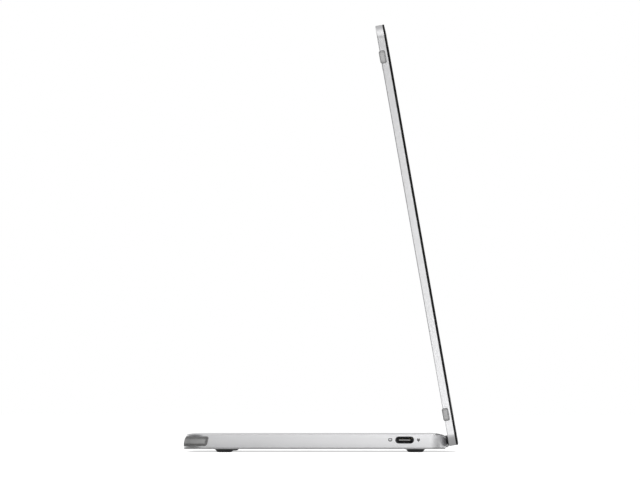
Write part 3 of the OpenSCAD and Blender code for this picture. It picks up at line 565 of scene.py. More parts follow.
def stamped(name, rgb, roughness):
    """Stamped and plated sheet, with rolling marks and worn edges."""
    shaded, edge_rub_and_shade_tone = 0.85, 1.3
    tree, shader, place = material(name, roughness, metallic=1.0)
    lines = place_group(tree, drawn_group(), Vector=place, Stretch=(260.0, 5200.0, 5200.0))["Lines"]
    grain = place_group(tree, grain_group(), Vector=place, Fineness=3000.0, Slowness=250.0)
    edge_rub_and_shade = place_group(tree, edge_rub_and_shade_group(), Vector=place, Width=0.12 * MM)
    tone = mix(tree, grain["Shade"], rgb, scaled(rgb, shaded))
    tone = mix(tree, edge_rub_and_shade["Mask"], tone, scaled(rgb, edge_rub_and_shade_tone))
    connect(tree, shader, tone, spread(tree, lines, roughness - 0.05, roughness + 0.08), lines,
            relief=0.003, strength=0.6)


def screen_glass(name, rgb):
    """Anti-glare film over a dark panel, whose border outside the picture is a shade blacker."""
    shaded, border, border_w = 0.8, 0.5, 0.9 * MM
    tree, shader, place = material(name, roughness=0.3, IOR=1.5, Coat_Weight=0.0)
    grain = place_group(tree, grain_group(), Vector=place, Fineness=9000.0, Slowness=14.0)
    x = add(tree, "ShaderNodeSeparateXYZ", {0: place}).outputs["X"]
    half = bpy.context.scene.display_sizes.picture_w / 2 - border_w
    inside = calc(tree, "LESS_THAN", calc(tree, "ABSOLUTE", x), half)
    tone = mix(tree, grain["Shade"], rgb, scaled(rgb, shaded))
    tone = mix(tree, inside, scaled(rgb, border), tone)
    connect(tree, shader, tone, spread(tree, grain["Height"], low=0.24, high=0.36), grain["Height"],
            relief=0.002, strength=0.5)


def circuit(name, rgb, roughness):
    """Solder mask over copper tracks."""
    track, gap, shaded, shade_share = 1.35, 0.55, 0.7, 0.3
    tree, shader, place = material(name, roughness, Coat_Weight=0.3)
    grain = place_group(tree, grain_group(), Vector=place, Fineness=2500.0, Slowness=60.0)
    cells = add(tree, "ShaderNodeTexBrick", {"Vector": place, "Scale": 160.0, "Mortar Size": 0.08,
                                             "Color1": (*rgb, 1), "Color2": (*scaled(rgb, track), 1),
                                             "Mortar": (*scaled(rgb, gap), 1)})
    tone = mix(tree, spread(tree, grain["Shade"], high=shade_share), cells.outputs["Color"],
               scaled(rgb, shaded))
    connect(tree, shader, tone, None, cells.outputs["Fac"], relief=-0.02, strength=0.6)


def clear_plastic(name):
    """Clear light guide with printed dots."""
    tree, shader, place = material(name, roughness=0.08, IOR=1.49, Transmission_Weight=0.9)
    dots = add(tree, "ShaderNodeTexVoronoi", {"Vector": place, "Scale": 1200.0}).outputs["Distance"]
    connect(tree, shader, None, spread(tree, dots, low=0.05, high=0.35), dots, relief=0.01, strength=0.5)


# Finishes whose colours a user doesn't change: name, maker, colour and roughness
FIXED_FINISHES = [
    ("black_tape", moulded, (0.03, 0.03, 0.03), 0.7), ("white_film", moulded, (0.85, 0.85, 0.83), 0.5),
    ("flex_circuit", circuit, (0.62, 0.33, 0.07), 0.35), ("steel", stamped, (0.58, 0.58, 0.59), 0.32),
    ("port_steel", stamped, (0.10, 0.10, 0.105), 0.35), ("circuit_board", circuit, (0.02, 0.16, 0.07), 0.35),
    ("chip_black", moulded, (0.02, 0.02, 0.022), 0.45), ("plug_cream", moulded, (0.72, 0.68, 0.57), 0.4),
    ("cable_black", moulded, (0.02, 0.02, 0.022), 0.5), ("heat_pad", rubber, (0.36, 0.46, 0.62), 0.62),
    ("contact_gold", stamped, (0.83, 0.62, 0.28), 0.25), ("mark_grey", moulded, (0.06, 0.06, 0.06), 0.5),
]


class MonitorFinishes(bpy.types.Operator):
    """Makes every finish, and gives the CAD nodes theirs by material slot"""
    bl_idname = "monitor.finishes"
    bl_label = "Finishes"

    def execute(self, context):
        c = {key: tuple(getattr(context.scene.finishes, key)) for key in Finishes.__annotations__}
        lean = context.scene.display_sizes.lean
        anodised("silver_metal", c["silver"], 0.34, stretch=(0, 10, 2400))
        anodised("silver_display", c["silver"], 0.34, turn=lean, stretch=(0, 2400, 10))
        anodised("plate_metal", c["plate"], 0.42)
        anodised("button_metal", scaled(c["silver"], 0.97), 0.3)
        moulded("black_frame", c["black"], 0.42, relief=0.004, uneven=0.01, dusty=0.01,
                Specular_IOR_Level=0.12)
        moulded("hinge_dark", c["hinge"], 0.4, dusty=0.1)
        rubber("grey_rubber", c["bumper"], 0.62)
        # The pads' copy of the grey rubber is darker: painted shade.
        rubber("pad_rubber", c["pad"], 0.62)
        rubber("dark_rubber", c["foot"], 0.5)
        screen_glass("screen_glass", c["screen"])
        clear_plastic("clear_acrylic")
        for name, maker, rgb, roughness in FIXED_FINISHES:
            maker(name, rgb, roughness)
        slots = {row["node"]: row["material_slot"] for row in frame["record"]["subparts"]}
        for node, piece in NODES.items():
            if not piece.material_slots:
                piece.data.materials.append(FINISH[slots[node]])
            for held in piece.material_slots:
                held.material = FINISH[slots[node]]
        return {"FINISHED"}


# ---- Display ----

BUMPER_ROUND = 0.9 * MM             # corner radius of a bumper's outline
# Layers of the panel: name, near and far depth from its face, and foot above its edge, in millimetres
LAYERS = [("panel_glass", 0.56, 1.1, 0), ("front_glass", 0.13, 0.55, 3), ("film", 0, 0.12, 3)]


def display_slab(name, back, front, grow=0.0):
    """The display's rounded outline between two depths behind and in front, grown all round."""
    sizes = bpy.context.scene.display_sizes
    half = COVER_BOX[1].x + grow
    slab = block(name, (-half, -front, -grow), (half, -back, sizes.height + grow))
    round_edges(slab, along(Y), sizes.corner + grow, segments=16)
    return slab


def bumper_block(name, side, middle, grow):
    """Rounded block that a bumper or its seat is cut from."""
    r = bpy.context.scene.rubber_sizes
    outer = COVER_BOX[1].x + r.proud + grow
    inner = COVER_BOX[1].x - r.bumper_reach - grow
    piece = block(name, (side * inner, -r.bumper_w - grow, middle - r.bumper_l / 2 - grow),
                  (side * outer, r.proud + grow, middle + r.bumper_l / 2 + grow))
    round_edges(piece, lambda e: along(X)(e) or along(Y)(e), BUMPER_ROUND + grow, segments=6)
    return piece


def bumper_middles(sizes, r):
    """Height of the middle of each bumper above the display's lower edge."""
    return {"lower": r.bumper_end, "upper": sizes.height - r.bumper_end}


class MonitorRearCover(bpy.types.Operator):
    """Silver tray of the display, with its bumper seats"""
    bl_idname = "monitor.rear_cover"
    bl_label = "Rear cover"

    def execute(self, context):
        d, r = context.scene.display_sizes, context.scene.rubber_sizes
        cover = display_slab("display_cover", 0, d.cover_depth)
        round_edges(cover, rim_of(Y), d.back_round, segments=4)
        push(cover, facing(-Y), d.side_wall, (0, d.cover_depth - d.back_wall, 0))
        for side, _ in SIDES:
            for middle in bumper_middles(d, r).values():
                seat = bumper_block("seat", side, middle, GAP)
                combine(seat, display_slab("core", r.seat + GAP, d.cover_depth + CUT, -r.seat - GAP))
                combine(cover, seat)
        soften(cover)
        finish(cover, "display", ["rear_cover"], "silver_metal", display_place(), look="silver_display")
        return {"FINISHED"}


class MonitorFrontFrame(bpy.types.Operator):
    """Black front frame with its lip over the panel and its rim inside the cover"""
    bl_idname = "monitor.front_frame"
    bl_label = "Front frame"

    def execute(self, context):
        d = context.scene.display_sizes
        rim, below, above = 0.8 * MM, 6.2 * MM, 2.3 * MM    # the rebate runs below and above the picture
        large = 0.05                    # square metres, as only the whole inner face has
        front = d.cover_depth + d.frame_depth
        half = d.picture_w / 2
        top = d.picture_low + d.picture_h
        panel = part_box("lcd_cell")[1].x + 2 * GAP
        piece = display_slab("front_frame", d.cover_depth, front)
        round_edges(piece, rim_of(-Y), d.front_round, segments=3)
        push(piece, facing(Y), d.side_wall + GAP, (0, 0, 0))
        # The rim rises from the inner face into the cover
        edit(piece, "FACE", lambda f: facing(Y)(f) and f.calc_area() > large)
        bpy.ops.mesh.extrude_region_move(TRANSFORM_OT_translate={"value": (0, rim, 0)})
        close()
        combine(piece, block("rebate", (-panel, d.lip - front, d.picture_low - below),
                             (panel, 0, top + above)))
        combine(piece, block("opening", (-half, -front - CUT, d.picture_low), (half, 0, top)))
        soften(piece, width=0.04 * MM)
        finish(piece, "display", ["front_bezel"], "black_frame", display_place())
        return {"FINISHED"}


class MonitorScreen(bpy.types.Operator):
    """Glass of the panel with its anti-glare film"""
    bl_idname = "monitor.screen"
    bl_label = "Screen"

    def execute(self, context):
        d = context.scene.display_sizes
        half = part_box("lcd_cell")[1].x
        below, above = 5.8 * MM, 1.9 * MM                   # the glass runs below and above the picture
        film_rim, film_rise = 0.4 * MM, 0.02 * MM
        face = 2 * GAP + d.lip - d.cover_depth - d.frame_depth
        low, high = d.picture_low - below, d.picture_low + d.picture_h + above
        rear, fore, film = (block(name, (-half, face + near * MM, low + foot * MM),
                                  (half, face + far * MM, high)) for name, near, far, foot in LAYERS)
        push(film, facing(-Y), film_rim, (0, -film_rise, 0))
        soften(rear)
        soften(fore)
        soften(film, width=0.02 * MM)
        screen = join("panel_glass", [rear, fore, film])
        finish(screen, "display", ["lcd_cell"], "screen_glass", display_place())
        return {"FINISHED"}


class MonitorBumpers(bpy.types.Operator):
    """Four rubber bumpers that wrap the display's side edges"""
    bl_idname = "monitor.bumpers"
    bl_label = "Bumpers"

    def execute(self, context):
        d, r = context.scene.display_sizes, context.scene.rubber_sizes
        for end, middle in bumper_middles(d, r).items():
            for side, word in SIDES:
                piece = bumper_block(f"bumper_{end}_{word}_rubber", side, middle, 0)
                combine(piece, display_slab("core", r.seat, d.cover_depth + CUT, -r.seat))
                soften(piece, width=0.35 * MM, segments=4)
                finish(piece, "display", [f"bumper_{end}_{word}"], "grey_rubber", display_place())
        return {"FINISHED"}


# ---- Base ----

NOTCH_GAP = 0.45 * MM               # clearance round the barrel in the base's notch
NOTCH_END = 0.4 * MM                # clearance at the barrel's ends
NOTCH_WALL = 1.2 * MM               # wall between the notch and the hollow
NOTCH_STEP = 0.05 * MM              # step between the notch's round and its straight wall
LIP_ROUND = 0.7 * MM                # round along the lip's lower edge
HOLE_L = 6 * CUT                    # length of a cutter through a side wall
PAD_ROUND = 1.0 * MM                # corner radius of a pad's outline
BUTTON_RIM = 0.5 * MM               # width of a button's flange inside the shell
BUTTON_GAP = 0.12 * MM              # clearance of a button in its hole
BUTTONS = (("power_button", "power_button"), ("brightness_down_button", "brightness_down"),
           ("brightness_up_button", "brightness_up"))


def front_y(z):
    """Place of the base's slanted front end at a height."""
    sizes = bpy.context.scene.base_sizes
    return sizes.depth - sizes.slant * (z - PLATE_BOX[0].z) / (SHELL_BOX[1].z - PLATE_BOX[0].z)


def base_solid(name, grow, low, high, segments=20):
    """The base's outer form between two heights: slanted front end, round plan corners, swept rear top."""
    b = bpy.context.scene.base_sizes
    half = SHELL_BOX[1].x + grow
    piece = block(name, (-half, -grow, low), (half, b.depth, high))
    for level in (low, high):
        shift(piece, lambda v: v.co.y > b.depth / 2 and abs(v.co.z - level) < GAP,
              (0, front_y(level) + grow - b.depth, 0))
    rows, upright = 12, 0.9
    round_edges(piece, lambda e: abs((e.verts[0].co - e.verts[1].co).z) > upright * (high - low),
                b.corner + grow, segments)
    for row in range(1, rows + 1):
        edit(piece, "FACE", lambda f: True)
        bpy.ops.mesh.bisect(plane_co=(0, b.sweep_l * row / rows, 0), plane_no=(0, 1, 0))
        close()
    sweep = b.sweep_r + high - SHELL_BOX[1].z
    for vert in piece.data.vertices:
        if vert.co.z > high - GAP and vert.co.y < b.sweep_l:
            reach = b.sweep_l - max(vert.co.y, -grow)
            vert.co.z -= sweep - math.sqrt(sweep ** 2 - reach ** 2)
    return piece


def top_rim(edge):
    """Tests that an edge lies between the base's top and a side or end."""
    up, aside = 0.7, 0.4
    tilts = sorted(f.normal.z for f in edge.link_faces)
    return len(tilts) == 2 and tilts[1] > up and tilts[0] < aside


def pad_block(name, side, grow):
    """Slanted block that bounds a corner pad in side view."""
    b, r = bpy.context.scene.base_sizes, bpy.context.scene.rubber_sizes
    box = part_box("corner_pad_left")
    low, high = box[0].z - grow, box[1].z + grow
    half = SHELL_BOX[1].x
    piece = block(name, (side * (half - r.pad_l - grow), 0, low),
                  (side * (half + 2 * CUT), b.depth + CUT, high))
    for level in (low, high):
        shift(piece, lambda v: v.co.y < b.depth / 2 and abs(v.co.z - level) < GAP,
              (0, front_y(level) - r.pad_l - grow, 0))
    round_edges(piece, lambda e: along(X)(e) and e.verts[0].co.y < b.depth - r.pad_l / 2,
                PAD_ROUND + grow, segments=5)
    round_edges(piece, lambda e: along(Y)(e) and side * e.verts[0].co.x < half - r.pad_l / 2,
                PAD_ROUND + grow, segments=5)
    return piece


def pill_cutter(name, centre, width, height, depth):
    """A bar along X with a pill-shaped section."""
    x, y, z = centre
    pill = bar(name, x - depth / 2, x + depth / 2, y, z, width, height)
    round_edges(pill, along(X), height / 2 - 10 * WELD, segments=12)
    return pill


def in_base(point):
    """From the shared frame to the base's own frame."""
    return base_place().inverted() @ Vector(point)


class MonitorBaseShell(bpy.types.Operator):
    """Silver shell of the base, with its hinge notch, lip, ports, button holes and pad seats"""
    bl_idname = "monitor.base_shell"
    bl_label = "Base shell"

    def execute(self, context):
        b, seat = context.scene.base_sizes, context.scene.rubber_sizes.seat + GAP
        low, top = SHELL_BOX[0].z, SHELL_BOX[1].z
        notch_r, notch_w = b.barrel_r + NOTCH_GAP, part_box("hinge_barrel")[1].x + NOTCH_END
        shell = base_solid("base_body", 0, low, top)
        round_edges(shell, top_rim, b.rim_round, segments=4)
        # The hollow leaves a wall round the hinge notch
        hollow = base_solid("hollow", -b.side_wall, low - CUT, top - b.top_wall, segments=10)
        combine(hollow, block("wall", (-notch_w - b.side_wall, 0, low - 2 * CUT),
                              (notch_w + b.side_wall, b.hinge_in + notch_r + NOTCH_WALL, top + CUT)))
        combine(shell, hollow)
        combine(shell, self.lip(context.scene, notch_w), "UNION")
        # The half-round notch opens to the rear above the lip, and to the top
        combine(shell, rod("notch", (0, b.hinge_in, HINGE.z), notch_r, 2 * notch_w, X, sides=64))
        combine(shell, block("notch", (-notch_w, b.hinge_in - 4 * b.barrel_r, low + b.lip_t),
                             (notch_w, b.hinge_in, top + CUT)))
        combine(shell, block("notch", (-notch_w, b.hinge_in - CUT, HINGE.z),
                             (notch_w, b.hinge_in + notch_r - NOTCH_STEP, top + CUT)))
        self.holes(shell)
        for sign, _ in SIDES:
            bed = pad_block("seat", sign, GAP)
            combine(bed, base_solid("core", -seat, low - 2 * CUT, top + CUT, segments=12))
            combine(shell, bed)
        finish(shell, "base", ["base_shell"], "silver_metal", base_place())
        return {"FINISHED"}

    def lip(self, scene, half):
        """The lip that runs under the barrel and stops the display."""
        b, d, low = scene.base_sizes, scene.display_sizes, SHELL_BOX[0].z
        top = low + b.lip_t

        def end(z):
            return (b.hinge_in - (d.hinge_off - b.stop_gap) / math.cos(d.lean)
                    + (z - HINGE.z) * math.tan(d.lean))
        lip = block("lip", (-half, end(low), low), (half, b.side_wall, top))
        shift(lip, lambda v: v.co.y < 0 and v.co.z > low + GAP, (0, end(top) - end(low), 0))
        round_edges(lip, lambda e: along(X)(e) and e.verts[0].co.y < 0 and e.verts[0].co.z < low + GAP,
                    LIP_ROUND, segments=4)
        return lip

    def holes(self, shell):
        """Cuts the openings for a port on each side and for three buttons on the right."""
        side = SHELL_BOX[1].x
        port = in_base((PORT_BOX[0] + PORT_BOX[1]) / 2)
        size = PORT_BOX[1] - PORT_BOX[0] + Vector((1, 1, 1)) * 2 * GAP
        for sign, _ in SIDES:
            combine(shell, pill_cutter("port", (sign * side, port.y, port.z), size.y, size.z, HOLE_L))
        for name, _ in BUTTONS:
            low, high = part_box(name)
            hole = in_base((low + high) / 2)
            size = high - low - Vector((0, 1, 1)) * 2 * (BUTTON_RIM - BUTTON_GAP)
            combine(shell, pill_cutter("button", (side, hole.y, hole.z), size.y, size.z, HOLE_L))


class MonitorBasePlate(bpy.types.Operator):
    """Bottom plate with its screw recesses, and the screws in it"""
    bl_idname = "monitor.base_plate"
    bl_label = "Bottom plate"

    def execute(self, context):
        b = context.scene.base_sizes
        chamfer_w, chamfer_h, recess = 0.15 * MM, 0.12 * MM, 0.4 * MM
        head_h, shank_h, tip_h = 0.4 * MM, 3.2 * MM, 3.3 * MM
        slot_l, slot_w, slot_h = 1.2 * MM, 0.24 * MM, 0.25 * MM
        low, high = in_base(PLATE_BOX[0]), in_base(PLATE_BOX[1])
        inset = SHELL_BOX[1].x - high.x
        plate = block("bottom_plate", low, high)
        round_edges(plate, along(Z), b.corner - inset, segments=20)
        round_edges(plate, rim_of(-Z), b.plate_round, segments=3)
        heads = []
        for box in solids("base_screws"):
            spot = in_base((box[0] + box[1]) / 2)
            radius = (box[1].x - box[0].x) / 2
            combine(plate, rod("recess", (spot.x, spot.y, low.z), radius + GAP, 2 * recess, Z, sides=32))
            outline = [(0, 0), (radius - chamfer_w, 0), (radius, chamfer_h), (radius, head_h),
                       (radius / 2, head_h), (radius / 2, shank_h), (0, tip_h)]
            head = turned_form("screw", outline, (spot.x, spot.y, low.z), sides=32)
            for turn in (0, 60, 120):
                slot = block("slot", (-slot_l / 2, -slot_w / 2, -CUT), (slot_l / 2, slot_w / 2, slot_h))
                slot.data.transform(Matrix.Translation((spot.x, spot.y, low.z))
                                    @ Matrix.Rotation(math.radians(turn), 4, "Z"))
                combine(head, slot)
            heads.append(head)
        soften(plate)
        finish(plate, "base", ["base_plate"], "plate_metal", base_place())
        finish(join("plate_screws", heads), "base", ["base_screws"], "steel", base_place())
        return {"FINISHED"}


class MonitorPads(bpy.types.Operator):
    """Rubber pads round the front corners, each with a raised face"""
    bl_idname = "monitor.pads"
    bl_label = "Corner pads"

    def execute(self, context):
        r = context.scene.rubber_sizes
        low, top = SHELL_BOX[0].z - CUT, SHELL_BOX[1].z + CUT
        for sign, word in SIDES:
            pad = base_solid(f"corner_pad_{word}_rubber", r.proud / 2, low, top)
            combine(pad, pad_block("bound", sign, 0), "INTERSECT")
            face = base_solid("face", r.proud, low, top)
            combine(face, pad_block("bound", sign, -r.pad_rim), "INTERSECT")
            combine(pad, face, "UNION")
            combine(pad, base_solid("core", -r.seat, low - CUT, top + CUT))
            soften(pad, width=0.2 * MM, segments=3, clamped=False)
            # The pads wear the darker copy of the grey rubber, which is painted shade.
            finish(pad, "base", [f"corner_pad_{word}"], "grey_rubber", base_place(), look="pad_rubber")
        return {"FINISHED"}


class MonitorFeet(bpy.types.Operator):
    """Four domed feet with flared skirts"""
    bl_idname = "monitor.feet"
    bl_label = "Feet"

    def execute(self, context):
        r = context.scene.rubber_sizes
        low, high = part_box("foot_front_left")
        sole, waist, skirt = r.sole_d / 2, r.waist_d / 2, (high.x - low.x) / 2
        top = PLATE_BOX[0].z
        edge, lead = 0.12 * MM, 0.03 * MM
        stud_r, stud_h = 1.5 * MM, 0.6 * MM                 # the stud holds the foot in the plate
        waist_z = 0.55 * top
        flare = top - waist_z - edge
        steps = 8
        outline = [(0, 0)]
        for i in range(steps + 1):
            turn = math.pi / 2 * i / steps
            outline.append((sole + (waist - sole) * math.sin(turn), waist_z * (1 - math.cos(turn))))
        for i in range(1, steps + 1):
            turn = math.pi / 2 * i / steps
            outline.append((skirt - (skirt - waist) * math.cos(turn), waist_z + flare * math.sin(turn)))
        outline += [(skirt, top - lead), (skirt - lead, top), (stud_r, top), (stud_r, top + stud_h),
                    (0, top + stud_h)]
        for end in ("front", "rear"):
            for _, word in SIDES:
                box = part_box(f"foot_{end}_{word}")
                middle = (box[0] + box[1]) / 2
                foot = turned_form(f"foot_{end}_{word}_rubber", outline, (middle.x, middle.y, 0), sides=56)
                finish(foot, "base", [f"foot_{end}_{word}"], "dark_rubber")
        return {"FINISHED"}


# Sizes inside a port: L along its depth, W across it, T thick
PORT_WALL = 0.25 * MM
TONGUE_W, TONGUE_T = 6.7 * MM, 0.7 * MM
SHOULDER_L, SHOULDER_W = 1.2 * MM, 6.9 * MM
CONTACT_PITCH, CONTACT_W, CONTACT_T = 0.5 * MM, 0.28 * MM, 0.06 * MM
CONTACT_IN = 0.9 * MM               # distance of the contacts from the tongue's tip
CONTACT_L, POWER_CONTACT_L = 2.2 * MM, 2.6 * MM
POWER_CONTACTS = (0, 3, 8, 11)      # the longer ones of the twelve
MID_PLATE_L, MID_PLATE_W, MID_PLATE_T, MID_PLATE_OUT = 3 * MM, 5.4 * MM, 0.28 * MM, 0.04 * MM


class MonitorPorts(bpy.types.Operator):
    """Data sockets: a plated shell, a tongue with its mid plate, and gold contacts"""
    bl_idname = "monitor.ports"
    bl_label = "Ports"

    def execute(self, context):
        low, high = PORT_BOX
        size = high - low
        x, y, z = (low + high) / 2
        for sign, word in SIDES:
            shell = pill_cutter(f"port_shell_{word}_steel", (sign * abs(x), y, z), size.y, size.z, size.x)
            push(shell, facing(X * sign), PORT_WALL, (-sign * (size.x - PORT_WALL), 0, 0))
            soften(shell, width=0.05 * MM)
            finish(shell, "base", [f"port_shell_{word}"], "port_steel")
            root, tip = sorted((corner.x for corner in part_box(f"port_tongue_{word}")), key=abs)
            core = bar("core", root, tip, y, z, TONGUE_W, TONGUE_T)
            round_edges(core, lambda e: all(abs(v.co.x - tip) < GAP for v in e.verts), radius=0.2 * MM,
                        segments=3)
            shoulder = bar("shoulder", root, root + sign * SHOULDER_L, y, z, SHOULDER_W,
                           size.z - 2 * PORT_WALL - 2 * GAP)
            soften(shoulder, width=0.15 * MM, segments=3)
            tongue = join(f"port_tongue_{word}_black", [core, shoulder])
            finish(tongue, "base", [f"port_tongue_{word}"], "chip_black")
            contacts = []
            start = tip - sign * CONTACT_IN
            for i in range(12):
                reach = sign * (POWER_CONTACT_L if i in POWER_CONTACTS else CONTACT_L)
                for face in (-1, 1):
                    contacts.append(bar("contact", start, start - reach, y + (i - 5.5) * CONTACT_PITCH,
                                        z + face * TONGUE_T / 2, CONTACT_W, CONTACT_T))
            pads = join(f"port_contacts_{word}", contacts)
            soften(pads, width=0.015 * MM)
            finish(pads, "base", [], "port_steel", look="contact_gold")
            plate = bar(f"port_mid_plate_{word}", tip - sign * MID_PLATE_L, tip + sign * MID_PLATE_OUT, y, z,
                        MID_PLATE_W, MID_PLATE_T)
            soften(plate, width=0.03 * MM)
            finish(plate, "base", [], "steel")
        return {"FINISHED"}


SIGN_DEEP, SIGN_PROUD = 0.04 * MM, 0.02 * MM
# Parts of the signs: place from the port's middle (y, z), width and height, in millimetres
SIGNS = {"screen": (7, 0.15, 1.9, 1.3), "window": (7, 0.15, 1.2, 0.5), "stand": (7, -0.72, 1.1, 0.2),
         "plug": (-6.7, -0.02, 1.4, 0.85), "prong_rear": (-7.06, 0.62, 0.28, 0.45),
         "prong_front": (-6.34, 0.62, 0.28, 0.45), "tail": (-6.7, -0.68, 0.3, 0.5)}


class MonitorMarks(bpy.types.Operator):
    """Plain picture signs beside the ports: a screen and a plug"""
    bl_idname = "monitor.marks"
    bl_label = "Port signs"

    def execute(self, context):
        port = (PORT_BOX[0] + PORT_BOX[1]) / 2
        for sign, word in SIDES:
            face = sign * SHELL_BOX[1].x
            parts = {}
            for name, (y, z, width, height) in SIGNS.items():
                deep, proud = (2 * CUT, 2 * CUT) if name == "window" else (SIGN_DEEP, SIGN_PROUD)
                parts[name] = bar(name, face - sign * deep, face + sign * proud, port.y + y * MM,
                                  port.z + z * MM, width * MM, height * MM)
            round_edges(parts["screen"], along(X), radius=0.25 * MM, segments=4)
            round_edges(parts["plug"], lambda e: along(X)(e) and e.verts[0].co.z < port.z,
                        radius=0.45 * MM, segments=5)
            combine(parts["screen"], parts.pop("window"))
            signs = join(f"port_signs_{word}", list(parts.values()))
            finish(signs, "base", [], "dark_rubber", look="mark_grey")
        return {"FINISHED"}


class MonitorButtons(bpy.types.Operator):
    """Power and brightness buttons on the right side"""
    bl_idname = "monitor.buttons"
    bl_label = "Buttons"

    def execute(self, context):
        nub_l, nub_w, nub_h, flange_t = 0.35 * MM, 2 * MM, 1.4 * MM, 0.8 * MM
        cap_round, dish_rim, dish_depth = 0.18 * MM, 0.35 * MM, 0.08 * MM
        for name, body in BUTTONS:
            low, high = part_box(name)
            _, y, z = (low + high) / 2
            width, height = high.y - low.y - 2 * BUTTON_RIM, high.z - low.z - 2 * BUTTON_RIM
            inner = low.x + nub_l
            root = inner + flange_t / 2     # the cap starts half way into the flange
            cap = pill_cutter(f"{name}_cap", ((root + high.x) / 2, y, z), width, height, high.x - root)
            round_edges(cap, rim_of(X), cap_round, segments=4)
            push(cap, facing(X), dish_rim, (-dish_depth, 0, 0))
            flange = pill_cutter("flange", (root, y, z), high.y - low.y, high.z - low.z, flange_t)
            nub = bar("nub", low.x, inner + GAP, y, z, nub_w, nub_h)
            soften(flange)
            soften(nub)
            combine(cap, flange, "UNION")
            combine(cap, nub, "UNION")
            finish(cap, body, [name], "button_metal")
        return {"FINISHED"}


class MonitorBarrel(bpy.types.Operator):
    """Hinge barrel with its neck and its window for the cable"""
    bl_idname = "monitor.barrel"
    bl_label = "Hinge barrel"

    def execute(self, context):
        d, b = context.scene.display_sizes, context.scene.base_sizes
        wall, window_w, window_turn = 0.6 * MM, 2.5 * MM, math.radians(-20)
        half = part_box("hinge_barrel")[1].x
        centre = (0, d.hinge_off, d.hinge_up)
        barrel = rod("hinge_barrel_tube", centre, b.barrel_r, 2 * half, X, sides=72)
        neck = block("neck", (-half, 0, d.hinge_up), (half, d.hinge_off, d.hinge_up + b.neck_t / 2))
        above_lip = HINGE.z - SHELL_BOX[0].z - b.lip_t - b.stop_gap
        for y in (0, d.hinge_off):
            drop = (above_lip + (d.hinge_off - y) * math.sin(d.lean)) / math.cos(d.lean)
            shift(neck, lambda v: v.co.z < d.hinge_up + GAP and abs(v.co.y - y) < GAP, (0, 0, -drop))
        combine(barrel, neck, "UNION")
        combine(barrel, rod("bore", centre, b.barrel_r - wall, 2 * half + 2 * CUT, X, sides=48))
        low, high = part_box("base_cable")
        x = low.x + (high.z - low.z) / 2    # the cable starts level, so its height is its diameter
        window = block("window", (x - window_w / 2, d.hinge_off - 0.9 * b.barrel_r, d.hinge_up),
                       (x + window_w / 2, d.hinge_off + 2 * b.barrel_r, d.hinge_up + 2 * b.barrel_r))
        window.data.transform(Matrix.Translation(centre) @ Matrix.Rotation(window_turn, 4, "X")
                              @ Matrix.Translation(-Vector(centre)))
        combine(barrel, window)
        finish(barrel, "display", ["hinge_barrel"], "hinge_dark", display_place())
        return {"FINISHED"}


# ---- Studio ----

PHOTO_SIZE = (640, 480)
PHOTO_SCALE = 2.063                # pixels per millimetre, at the near side of the object
PHOTO_REAR_X = 446.1               # pixel column of the base's rear end
PHOTO_DESK_Y = 452.4               # pixel row of the desk
FLOOR_SIZE = 24
FLOOR_GLOW = 0.6                   # keeps the floor white outside the shadow
SKY_LIGHT = 0.6                    # light of the world on the pieces
CAMERA_AWAY = 11.1                 # metres from the near side; a long lens, as in the photo
CAMERA_IN = 11 * MM                # the camera stands this far in from the base's rear end
CAMERA_UP = 34 * MM
SENSOR = 36                        # millimetres
# Bent card round the camera's side: radius, height and (degrees from -X towards +Y, level)
ARC_R, ARC_H = 0.8, 0.5
ARC_STOPS = [(-116, 0.9), (-72, 0.85), (-60, 0.0), (-30, 0.0), (-13, 1.0), (2, 1.0), (22, 0.1), (70, 0.12),
             (84, 0.3), (118, 0.35)]
# Name, axis of the grading, centre, size, and (place, level) along that axis, in metres
CARDS = [
    # Painted shadow: a dark sheet under the object's footprint that only the metal sees, standing in for the
    # floor's shadow there; it greys the floor's reflection further towards +X.
    ("card_low", "X", (0.2, 0, 0.0002), (0.8, 0.22, 0.0002),
     [(-0.2, 1.0), (-0.165, 0.4), (-0.09, 0.1), (0.09, 0.1), (0.165, 0.35), (0.25, 0.6), (0.6, 0.6)]),
    ("card_table", "Y", (0, 0.45, 0.0002), (1.6, 0.68, 0.0002), [(0.11, 0.6), (0.2, 0.42), (0.79, 0.4)]),
    ("card_desk", "X", (0.45, -0.41, 0.0002), (0.9, 0.6, 0.0002), [(0.0, 1.0), (0.2, 0.55), (0.9, 0.55)]),
    ("card_side", "Y", (-0.42, 0.14, 0.06), (0.002, 0.36, 0.12),
     [(-0.035, 1.0), (0.085, 0.05), (0.32, 0.05)]),
    ("card_high", "Z", (-0.72, 0, 0.29), (0.002, 1.0, 0.26), [(0.16, 1.0), (0.28, 0.25), (0.42, 0.25)]),
    ("card_back", "Z", (0.9, 0, 0.65), (0.002, 1.8, 1.3),
     [(0.0, 1.0), (0.16, 1.0), (0.36, 0.5), (1.3, 0.5)]),
    ("card_ceiling", "X", (0.275, 0, 1.3), (1.25, 1.8, 0.01), [(-0.35, 0.6), (0.9, 0.5)]),
]
# Name, place, aim, size, power, and whether metal mirrors it
LAMPS = [
    ("lamp_key", (-0.9, -0.7, 1.0), (0, 0, 0.08), 0.8, 7.2, True),
    ("lamp_hinge", (-0.7, -0.3, 0.25), (-0.16, -0.06, 0.02), 0.3, 0.5, True),
    ("lamp_fill", (1.0, 0.7, 1.1), (0, 0, 0.08), 0.9, 6, False),
]


